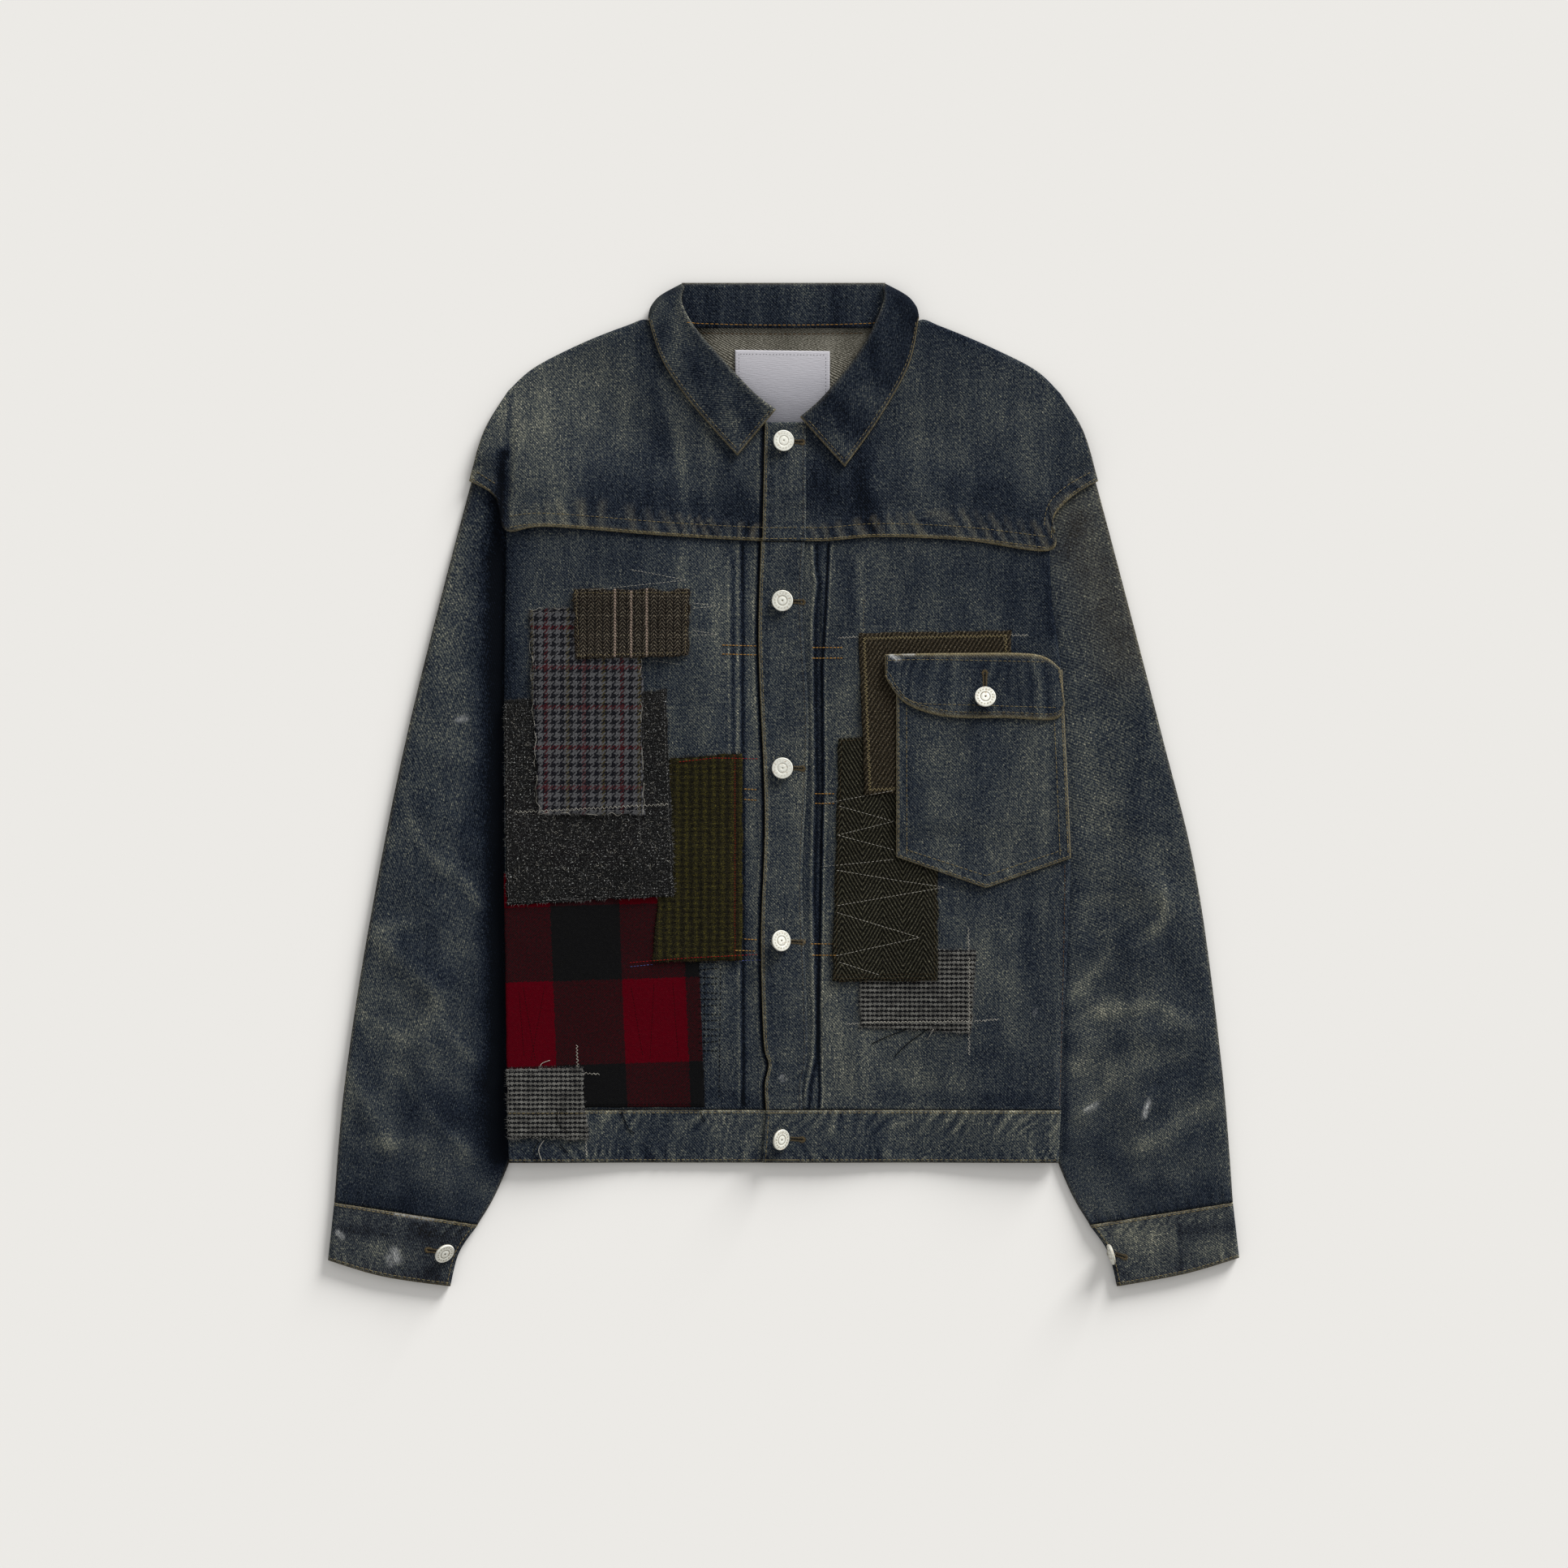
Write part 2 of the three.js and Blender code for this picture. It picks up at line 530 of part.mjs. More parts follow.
const BACK_FOLD_R = (BAND + GAP + DENIM + GAP + BAND) / 2;
const SIDE_FOLD_R = BACK_FOLD_R + (DENIM + GAP) / 2;
const collar = joined([
  panel(STAND, standUnder, BAND, 8, 2),
  panel(FALL, onTable, BAND, 6, 2),
  panel(LEAF_RIGHT, leafUnder, BAND, 4, 10),
  panel(LEAF_LEFT, leafUnder, BAND, 4, 10),
  foldedEdge([-81, COLLAR_TOP - BACK_FOLD_R], [81, COLLAR_TOP - BACK_FOLD_R], BACK_FOLD_R),
  foldedEdge([-107, 376], [-81, COLLAR_TOP - SIDE_FOLD_R], SIDE_FOLD_R),
  foldedEdge([107, 376], [81, COLLAR_TOP - SIDE_FOLD_R], SIDE_FOLD_R),
]);
add('collar', collar, INDIGO);

// Buttons: a domed cap on a shank, each set on what it fastens

function button() {
  const profile = [
    [0, 0], [3, 0], [3, 1.4], [BUTTON_R - 0.8, 1.6], [BUTTON_R, 2.6], [BUTTON_R - 1.2, BUTTON_HIGH],
    [0, BUTTON_HIGH],
  ];
  const turned = new THREE.LatheGeometry(profile.map(([r, z]) => new THREE.Vector2(r, z)), 14);
  return closed(turned.rotateX(Math.PI / 2));
}

function addButton(name, x, y, surface) {
  add(name, button(), NICKEL).position.set(x, y, surface(x, y) + GAP);
}

const placketTop = (x, y) => placketUnder(x, y) + BAND;
addButton('button_neck', 0, 275, (x, y) => yokePlacketUnder(x, y) + DENIM);
addButton('button_chest', -1, 147, placketTop);
addButton('button_middle', -1, 13, placketTop);
addButton('button_lower', -2, -125, placketTop);
addButton('button_waist', -2, -284, (x, y) => waistUnder(x, y) + BAND);
addButton('button_pocket', 161, 70, (x, y) => flapUnder(x, y) + BAND);
addButton('button_cuff_right', -271, -375, cuffTop);
addButton('button_cuff_left', 271, -375, cuffTop);

export default jacket;
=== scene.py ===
"""A patched denim jacket laid flat on its back on a pale floor, seen from straight above.

Plans and heights are in millimetres, as the solids are: +X to the right and +Y to the collar as
the jacket is seen, +Z up from the floor. Left and right in names are the wearer's. Meshes are in
metres. Small marks are placed by their column and row in the photograph's 1932 x 1932 frame.
"""
import math

import bmesh
import bpy
import numpy as np
from mathutils import Matrix, Vector
from mathutils.bvhtree import BVHTree


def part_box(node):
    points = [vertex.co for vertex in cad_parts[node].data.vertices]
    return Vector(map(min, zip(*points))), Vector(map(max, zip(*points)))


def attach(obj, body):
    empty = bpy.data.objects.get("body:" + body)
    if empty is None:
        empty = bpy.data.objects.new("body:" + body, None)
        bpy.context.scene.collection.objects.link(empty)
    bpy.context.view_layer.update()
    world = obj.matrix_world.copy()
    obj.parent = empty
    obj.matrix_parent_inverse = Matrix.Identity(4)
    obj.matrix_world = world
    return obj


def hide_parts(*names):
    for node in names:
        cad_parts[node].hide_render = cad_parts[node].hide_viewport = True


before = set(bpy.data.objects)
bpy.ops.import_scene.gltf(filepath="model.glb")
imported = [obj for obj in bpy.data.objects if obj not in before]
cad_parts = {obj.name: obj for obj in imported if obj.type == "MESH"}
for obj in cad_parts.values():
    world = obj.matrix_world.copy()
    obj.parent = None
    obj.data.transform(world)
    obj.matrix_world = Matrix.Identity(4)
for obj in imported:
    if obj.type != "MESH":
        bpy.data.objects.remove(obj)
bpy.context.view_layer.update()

# Walls, clearances and heights, as in the solids
MM = 0.001
DENIM = 1.5
BAND = 2.2
WOOL = 1.2
LABEL = 1.0
GAP = 0.35
LAP = DENIM + GAP
THIN = 0.2  # a flat sheet is this much thinner than its solid's wall
THIN_FOLD = 0.3  # and a sheet that is bent round a fold
INSIDE = 1.0
CELL = 20
SLEEVE_FLAT = 4.6
SLEEVE_LOFT = 6.8
CUFF_HEIGHT = 7.2
BODY_LOFT = 1.6
PLEAT = 1.4
BODY_HALF = 224
BODY_REACH = 350
WAIST_TOP = -261
HEM = -303
NECK_FRONT = 290
YOKE_SEAM = 195
YOKE_LAP = 8
UNDERLAP = 12
OVERLAP = UNDERLAP + GAP
COLLAR_TOP = 402

# The photograph's frame
PIXELS = 1932
MM_PER_PIXEL = 0.65
MIDDLE = (965.5, 966.5)


def spot(column, row):
    """The place on the table under a pixel of the photograph."""
    return ((column - MIDDLE[0]) * MM_PER_PIXEL, (MIDDLE[1] - row) * MM_PER_PIXEL)


def spots(pixels):
    return [spot(*pixel) for pixel in pixels]


# Numbers over a surface

def smooth(value, low, high):
    t = np.clip((value - low) / (high - low), 0, 1)
    return t * t * (3 - 2 * t)


def ripple(x, y, seed):
    """Soft random waves from -1 to 1, about one unit apart."""
    lattice = np.random.default_rng(seed).uniform(-1, 1, (64, 64))
    ix, iy = np.floor(x).astype(int), np.floor(y).astype(int)
    fx, fy = smooth(x - ix, 0, 1), smooth(y - iy, 0, 1)

    def corner(right, up):
        return lattice[(ix + right) % 64, (iy + up) % 64]

    low = corner(0, 0) * (1 - fx) + corner(1, 0) * fx
    high = corner(0, 1) * (1 - fx) + corner(1, 1) * fx
    return low * (1 - fy) + high * fy


def from_line(x, y, a, b):
    """Distance of each point from the line between a and b."""
    ex, ey = b[0] - a[0], b[1] - a[1]
    share = np.clip(((x - a[0]) * ex + (y - a[1]) * ey) / (ex * ex + ey * ey), 0, 1)
    return np.hypot(x - a[0] - share * ex, y - a[1] - share * ey)


def outside(x, y, outline):
    """Distance from a convex outline, nought inside it."""
    near = np.inf
    inside = 0
    for a, b in zip(outline, outline[1:] + outline[:1]):
        near = np.minimum(near, from_line(x, y, a, b))
        inside = inside + np.sign((b[0] - a[0]) * (y - a[1]) - (b[1] - a[1]) * (x - a[0]))
    return np.where(np.abs(inside) == len(outline), 0, near)


def over(x, y, outline, ramp):
    return 1 - smooth(outside(x, y, outline), CELL, CELL + ramp)


def strokes(x, y, marks):
    """Soft marks along lines: each has the pixels of its line, its half-width and its amount."""
    total = np.zeros_like(x)
    for pixels, half, amount in marks:
        points = spots(pixels)
        near = np.min([from_line(x, y, a, b) for a, b in zip(points, points[1:])], axis=0)
        total += amount * np.exp(-((near / half) ** 2))
    return total


# Plans

def reach_along(points):
    """The distance of each point from the first, along the line through them."""
    return np.concatenate([[0], np.cumsum(np.hypot(*np.diff(points, axis=0).T))])


def curve(points, bends=True):
    """A line through the points, smooth where it bends: close points on it and the distance along it."""
    p = np.array(points, float)
    if bends and len(p) > 2:
        ends = np.vstack([p[:1], p, p[-1:]])
        t = np.linspace(0, 1, 24, endpoint=False)[:, None]
        parts = []
        for a, b, c, d in zip(ends, ends[1:], ends[2:], ends[3:]):
            inward, outward = (c - a) / 2, (d - b) / 2
            parts.append(
                (2 * b - 2 * c + inward + outward) * t ** 3
                + (-3 * b + 3 * c - 2 * inward - outward) * t ** 2
                + inward * t
                + b
            )
        p = np.vstack(parts + [p[-1:]])
    return p, reach_along(p)


def on_curve(line, share):
    p, reach = line
    at = np.asarray(share) * reach[-1]
    return np.stack([np.interp(at, reach, p[:, 0]), np.interp(at, reach, p[:, 1])])


class Plan:
    """A four-sided cut. Low and high run towards +X from corner to corner. Left and right run towards
    +Y, and are given by the points between the corners."""

    def __init__(self, low, high, left=(), right=(), pointed=False):
        self.low, self.high = curve(low, not pointed), curve(high)
        self.left = curve([low[0], *left, high[0]])
        self.right = curve([low[-1], *right, high[-1]])
        self.corners = [np.array(p, float)[:, None] for p in (low[0], low[-1], high[0], high[-1])]
        self.wide = (self.low[1][-1] + self.high[1][-1]) / 2
        self.long = (self.left[1][-1] + self.right[1][-1]) / 2

    def __call__(self, u, v):
        weights = ((1 - u) * (1 - v), u * (1 - v), (1 - u) * v, u * v)
        place = on_curve(self.low, u) * (1 - v) + on_curve(self.high, u) * v
        place = place + on_curve(self.left, v) * (1 - u) + on_curve(self.right, v) * u
        return place - sum(corner * weight for corner, weight in zip(self.corners, weights))

    def greatest(self):
        """Its greatest width and length, measured along its rows and columns."""
        shares = np.linspace(0, 1, 65)
        u, v = np.meshgrid(shares, shares)
        x, y = self(u.ravel(), v.ravel()).reshape(2, *u.shape)
        rows = np.hypot(np.diff(x, axis=1), np.diff(y, axis=1)).sum(axis=1)
        columns = np.hypot(np.diff(x, axis=0), np.diff(y, axis=0)).sum(axis=0)
        return rows.max(), columns.max()

    def area(self):
        x, y = np.vstack([self.low[0], self.right[0], self.high[0][::-1], self.left[0][::-1]]).T
        return abs(np.dot(x, np.roll(y, 1)) - np.dot(y, np.roll(x, 1))) / 2

    def row(self, side, inset, start=0.0, end=1.0):
        """Places along a side, a little inside it."""
        t = np.linspace(start, end, 160)
        across, up = inset / self.wide, inset / self.long
        u, v = {
            "low": (t, up + 0 * t),
            "high": (t, 1 - up + 0 * t),
            "left": (across + 0 * t, t),
            "right": (1 - across + 0 * t, t),
        }[side]
        return self(u, v).T


def quad(bl, br, tr, tl):
    return Plan([bl, br], [tl, tr])


def mirrored(points):
    return [(-x, y) for x, y in points]


def raised(points, dy):
    return [(x, y + dy) for x, y in points]


ARMHOLE_RIGHT = [(-246, 252), (-205, 238), (-150, 185), (-110, 115), (-100, 45)]
SLEEVE_INNER_RIGHT = [(-220, -303), (-163, -139)]
SLEEVE_RIGHT = Plan(
    [(-360, -334.6), (-245, -352.6)],
    ARMHOLE_RIGHT,
    [(-352, -243), (-333, -118), (-301, 43), (-253, 232)],
    SLEEVE_INNER_RIGHT,
)
SLEEVE_LEFT = Plan(
    [(245, -352.6), (360, -334.6)],
    mirrored(ARMHOLE_RIGHT)[::-1],
    mirrored(SLEEVE_INNER_RIGHT),
    [(351, -225), (331, -76), (303, 40), (253, 232)],
)
CUFF_RIGHT = Plan(
    [(-365, -381), (-321, -394), (-267, -402)],
    [(-360, -335), (-245, -353)],
    right=[(-260, -375)],
)
CUFF_LEFT = Plan(
    [(267, -402), (321, -392), (365, -379)],
    [(245, -353), (360, -335)],
    left=[(260, -375)],
)
BACK = Plan(
    [(-221, WAIST_TOP), (221, WAIST_TOP)],
    [(-126, 366), (-98, 371), (-66, 374), (0, 373), (66, 374), (98, 371), (126, 366)],
    [(-223, 56), (-219, 180), (-218, 212), (-240, 246), (-232, 291), (-200, 333)],
    [(228, -54), (222, 82), (211, 170), (210, 205), (240, 246), (232, 291), (200, 333)],
)
WAIST_BACK = quad((-220, HEM), (220, HEM), (221, WAIST_TOP - GAP), (-221, WAIST_TOP - GAP))
YOKE_EDGE_RIGHT = [(-222, 203), (-189, 206), (-95, 199), (-19, YOKE_SEAM), (UNDERLAP, YOKE_SEAM)]
YOKE_EDGE_LEFT = [(OVERLAP, YOKE_SEAM), (36, YOKE_SEAM), (78, 198), (146, 195), (213, 187)]
FRONT_RIGHT = Plan(
    [(-221, WAIST_TOP + GAP), (UNDERLAP, WAIST_TOP + GAP)],
    raised(YOKE_EDGE_RIGHT, YOKE_LAP),
    left=[(-223, -95), (-224, 56)],
)
FRONT_LEFT = Plan(
    [(OVERLAP, WAIST_TOP + GAP), (222, WAIST_TOP + GAP)],
    raised(YOKE_EDGE_LEFT, YOKE_LAP),
    right=[(223, -217), (230, -54), (223, 82), (215, 147)],
)
YOKE_RIGHT = Plan(
    [(-252, 243), (-231, 230)] + YOKE_EDGE_RIGHT,
    [(-221, 315), (-200, 334), (-163, 353), (-126, 367.5), (-109, 372), (-94, 358), (-62, 320), (-20, 292),
     (UNDERLAP, NECK_FRONT)],
    left=[(-240, 283)],
)
YOKE_LEFT = Plan(
    YOKE_EDGE_LEFT + [(216, 213), (232, 231), (252, 243)],
    [(OVERLAP, NECK_FRONT), (20, 292), (62, 320), (94, 358), (109, 372), (126, 367), (167, 350), (202, 332),
     (222, 313)],
    right=[(240, 283)],
)
WAIST_RIGHT = quad((-220, HEM), (UNDERLAP, HEM), (UNDERLAP, WAIST_TOP), (-221, WAIST_TOP))
WAIST_LEFT = quad((-17, HEM), (220, HEM), (222, WAIST_TOP), (-14, WAIST_TOP))
PLACKET = Plan(
    [(-14, WAIST_TOP + GAP), (15, WAIST_TOP + GAP)],
    [(-18, YOKE_SEAM - GAP), (17, YOKE_SEAM - GAP)],
    [(-15, -240), (-12, -224), (-16, -204), (-18, -120), (-15, -22), (-20, 108)],
    [(15, -240), (19, -215), (18, -160), (15, -73), (20, 43), (15, 139)],
)
PLACKET_TOP = [(-17, YOKE_SEAM), (18, YOKE_SEAM), (18, NECK_FRONT), (-15, NECK_FRONT)]
POCKET = Plan([(90, -58), (162, -83), (230, -59)], [(90, 92), (223, 92)], pointed=True)
POCKET_AREA = [(90, -58), (162, -83), (230, -59), (223, 92), (90, 92)]
FLAP = Plan(
    [(81, 86), (97, 65), (130, 54), (179, 53), (217, 52), (225, 64)],
    [(81, 104), (140, 105), (201, 104), (221, 93)],
    right=[(223, 78)],
)
LEAF_RIGHT = Plan(
    [(-37, 263), (-6, 300)],
    [(-108, 372), (-98, 387), (-79, COLLAR_TOP - 4)],
    [(-74, 305), (-97, 339)],
    [(-26, 316), (-67, 361), (-81, 385)],
)
LEAF_LEFT = Plan(
    [(13, 294), (49, 254)],
    [(79, COLLAR_TOP - 4), (98, 387), (108, 372)],
    [(33, 312), (62, 349), (79, 385)],
    [(76, 292), (100, 335)],
)
LABEL_AREA = [(-39, 284), (37, 284), (37, 347), (-39, 348)]
FALL_AREA = [(-80, 402), (80, 402), (110, 374), (92, 350), (-92, 350), (-110, 374)]
SLEEVE_AREA_RIGHT = ARMHOLE_RIGHT + [(-220, -303), (-245, -353), (-360, -335)]
SLEEVE_AREA_LEFT = mirrored(SLEEVE_AREA_RIGHT)
BODY_BOX = [(-BODY_HALF, HEM), (BODY_HALF + 6, HEM), (BODY_HALF + 6, YOKE_SEAM), (-BODY_HALF, YOKE_SEAM)]
SHOULDER_RIGHT = [(-200, 190), (-200, 336), (-236, 291), (-252, 243), (-222, 190)]
SHOULDER_LEFT = mirrored(SHOULDER_RIGHT)


# Heights of the lay

CREASES = [
    ((-268, -67), (-243, -91), 11, 1.3),
    ((-321, -124), (-276, -165), 13, 1.5),
    ((-279, -165), (-291, -225), 11, 1.1),
    ((-350, -231), (-318, -288), 12, 1.3),
    ((284, -76), (326, -112), 13, 1.4),
    ((252, -176), (312, -128), 12, 1.3),
    ((262, -205), (330, -196), 12, 1.2),
    ((284, -262), (344, -232), 12, 1.2),
]


# Lengths over which cloth comes down beside what it lies on
SLEEVE_RAMP = 40
BODY_RAMP = 90
NECK_RAMP = 60
COLLAR_RAMP = 40
PATCH_RAMP = 34


def sleeve_top(x, y):
    clear = np.min([outside(x, y, o) for o in (BODY_BOX, SHOULDER_RIGHT, SHOULDER_LEFT)], axis=0)
    free = smooth(clear, CELL, CELL + SLEEVE_RAMP)
    ridges = sum(high * np.exp(-((from_line(x, y, a, b) / half) ** 2)) for a, b, half, high in CREASES)
    return SLEEVE_FLAT + free * (SLEEVE_LOFT - SLEEVE_FLAT + ridges)


def back_under(x, y):
    sleeves = np.maximum(over(x, y, SLEEVE_AREA_RIGHT, BODY_RAMP), over(x, y, SLEEVE_AREA_LEFT, BODY_RAMP))
    return sleeves * (SLEEVE_FLAT + GAP) + over(x, y, FALL_AREA, NECK_RAMP) * (BAND + GAP)


def back_top(x, y):
    return back_under(x, y) + DENIM


def front_under(x, y):
    loft = np.maximum(0, 1 - (x / BODY_HALF) ** 2) * np.maximum(0, 1 - (y / BODY_REACH) ** 2)
    label = over(x, y, LABEL_AREA, NECK_RAMP) * (LABEL + GAP)
    return back_top(x, y) + INSIDE + label + BODY_LOFT * loft


PLEAT_FOLD_RIGHT = -34.5
PLEAT_FOLD_LEFT = 31
PLEAT_STEP = 2
PLEAT_FULL = 26
PLEAT_FADE = 26
PLEAT_OPENS = (-256, -206)
PLEAT_CLOSES = (130, 184)
YOKE_SETTLES = (229, 279)
SHOULDER_FOLD_FOOT = (-221, 205)
SHOULDER_FOLD_LEAN = 0.077
SHOULDER_FOLD_HEIGHT = 2.2


def behind_fold(x):
    return np.where(x < 0, PLEAT_FOLD_RIGHT - x, x - PLEAT_FOLD_LEFT)


def pleat_height(x, y):
    sewn = smooth(y, *PLEAT_OPENS) * (1 - smooth(y, *PLEAT_CLOSES))
    return PLEAT * sewn * (1 - smooth(behind_fold(x), PLEAT_FULL, PLEAT_FULL + PLEAT_FADE))


def on_front(x, y):
    return front_under(x, y) + pleat_height(x, y) + LAP


def yoke_under(x, y):
    return front_under(x, y) + LAP * (1 - smooth(y, *YOKE_SETTLES))


def shoulder_fold(x, y):
    """The fold of spare cloth on the right shoulder: steep outside, running out towards the neck."""
    inward = x - SHOULDER_FOLD_FOOT[0] - SHOULDER_FOLD_LEAN * (y - SHOULDER_FOLD_FOOT[1])
    length = smooth(y, 196, 206) * (1 - smooth(y, 240, 325))
    return SHOULDER_FOLD_HEIGHT * length * smooth(inward, -4, 3) * (1 - smooth(inward, 16, 90))


def yoke_right_under(x, y):
    return yoke_under(x, y) + shoulder_fold(x, y)


def waist_left_under(x, y):
    return front_under(x, y) + (BAND + GAP) * (1 - smooth(x, UNDERLAP + CELL, UNDERLAP + CELL + 60))


def placket_under(x, y):
    return front_under(x, y) + LAP


def yoke_placket_under(x, y):
    return yoke_under(x, y) + LAP


def leaf_under(x, y):
    return yoke_under(x, y) + LAP + over(x, y, PLACKET_TOP, COLLAR_RAMP) * LAP


def laid_on(base, below):
    """A height over a base, lifted over each piece that is covered: its area and its top."""
    def under(x, y):
        height = base(x, y)
        for area, top in below:
            height = np.maximum(height, base(x, y) + over(x, y, area, PATCH_RAMP) * (top(x, y) + GAP - base(x, y)))
        return height
    return under


# Cloth

class Cloth:
    """Where the vertices of a cut lie: shares u and v, places x and y, and distances from its sides."""

    def __init__(self, plan, u, v):
        self.u, self.v = u, v
        self.x, self.y = plan(u, v)
        self.left, self.right = u * plan.wide, (1 - u) * plan.wide
        self.low, self.high = v * plan.long, (1 - v) * plan.long

    def cut(self):
        """Places on the flat cut, in metres."""
        return np.stack([self.left, self.low], -1) * MM

    def edge(self, sides="left right low high"):
        return np.min([getattr(self, side) for side in sides.split()], axis=0)


RIM_WIDTH = 3.6


def spaced(length, cell, close=None):
    """Shares of a length, close together near both ends and in one stretch, and a cell apart elsewhere."""
    rim = np.array([0, 0.5, 1.2, 2.2])
    first, last = RIM_WIDTH, length - RIM_WIDTH
    inner = np.linspace(first, last, max(2, round(length / cell)))
    if close:
        start, end = max(close[0], first), min(close[1], last)
        inner = np.concatenate([inner[(inner < start) | (inner > end)], np.arange(start + 0.4, end, 0.9)])
    return np.sort(np.concatenate([rim, inner, length - rim])) / length


def grid(us, vs):
    """A flat grid of cloth with the shares of each vertex."""
    bm = bmesh.new()
    nu, nv = len(us) - 1, len(vs) - 1
    bmesh.ops.create_grid(bm, x_segments=nu, y_segments=nv, size=1)
    bm.verts.index_update()
    flat = np.array([vertex.co for vertex in bm.verts])
    u = us[np.rint((flat[:, 0] + 1) / 2 * nu).astype(int)]
    v = vs[np.rint((flat[:, 1] + 1) / 2 * nv).astype(int)]
    return bm, u, v


def finish_cloth(name, bm, places, cut, wear, wall, materials, close=False):
    """Moves a grid to its places and makes it a shell with its cut and wear, wall thick."""
    cut_layer = bm.loops.layers.uv.new("cut")
    wear_layer = bm.verts.layers.float_vector.new("wear")
    for vertex in bm.verts:
        i = vertex.index
        vertex.co = places[i] * MM
        vertex[wear_layer] = wear[i]
    for face in bm.faces:
        face.smooth = True
        for loop in face.loops:
            loop[cut_layer].uv = cut[loop.vert.index]
    if close:
        bmesh.ops.remove_doubles(bm, verts=bm.verts, dist=1e-6)
    mesh = bpy.data.meshes.new(name)
    bm.to_mesh(mesh)
    bm.free()
    for material in materials:
        mesh.materials.append(material)
    piece = placed(name + "_cloth", mesh)
    shell = piece.modifiers.new("wall", "SOLIDIFY")
    shell.thickness = wall * MM
    shell.offset = -1
    shell.material_offset = len(materials) - 1
    return piece


def placed(name, data):
    """An object in the scene."""
    item = bpy.data.objects.new(name, data)
    bpy.context.collection.objects.link(item)
    return item


SHEETS = {}


def declare(piece, node, plan, rests_on, tube=False, turned=0.0):
    """Hangs a sheet on the root, hides its solid if it has one, and keeps its cut: its plan, both sides of a tube, and
    what is turned under.
    """
    sides = 2 if tube else 1
    wide, long = plan.greatest()
    flat = (wide * sides * MM, (long + turned) * MM)
    area = (plan.area() * sides + turned * plan.high[1][-1]) * MM * MM
    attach(piece, "root")
    if node:
        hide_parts(node)
    SHEETS[piece.name.removesuffix("_cloth")] = (piece, flat, area, rests_on)


def rounded(edge, reach, drop):
    """How far a turned edge rolls down, by the distance from it."""
    t = np.clip(1 - edge / reach, 0, 1)
    return drop * (1 - np.sqrt(np.maximum(0, 1 - t * t)))


def roping(along, edge, inner, seed, pitch=13):
    """Slanting, uneven puckers of a sewn band, from -1 to 1, within a distance from its edge."""
    phase = (along + 0.6 * edge) / pitch + 1.4 * ripple(along / 31, edge / 30, seed)
    strength = 0.3 + 0.9 * np.abs(ripple(along / 19, edge / 40, seed + 500))
    return np.sin(2 * np.pi * phase) * strength * (1 - smooth(edge, inner * 0.8, inner))


# Finishes

class Value:
    """A socket of a finish that can be used in sums."""

    def __init__(self, finish, socket):
        self.finish, self.socket = finish, socket

    def maths(self, operation, first, second=0.0):
        return self.finish.node("Math", {"operation": operation}, {0: first, 1: second})

    def __add__(self, other):
        return self.maths("ADD", self, other)

    def __radd__(self, other):
        return self.maths("ADD", other, self)

    def __sub__(self, other):
        return self.maths("SUBTRACT", self, other)

    def __rsub__(self, other):
        return self.maths("SUBTRACT", other, self)

    def __mul__(self, other):
        return self.maths("MULTIPLY", self, other)

    def __rmul__(self, other):
        return self.maths("MULTIPLY", other, self)

    def __truediv__(self, other):
        return self.maths("DIVIDE", self, other)

    def __mod__(self, other):
        return self.maths("FLOORED_MODULO", self, other)

    def __lt__(self, other):
        return self.maths("LESS_THAN", self, other)

    def __gt__(self, other):
        return self.maths("GREATER_THAN", self, other)

    def __abs__(self):
        return self.maths("ABSOLUTE", self)

    def floor(self):
        return self.maths("FLOOR", self)

    def sine(self):
        return self.maths("SINE", self)

    def clamp(self):
        return self.finish.node("Clamp", {}, {"Value": self})

    def within(self, low, high):
        """One between two values, nought elsewhere."""
        return (self > low) * (self < high)


def tint(red, green, blue):
    """A colour given as it shows on a screen, from 0 to 255."""
    linear = [((c / 255 + 0.055) / 1.055) ** 2.4 if c > 10 else c / 255 / 12.92 for c in (red, green, blue)]
    return (*linear, 1.0)


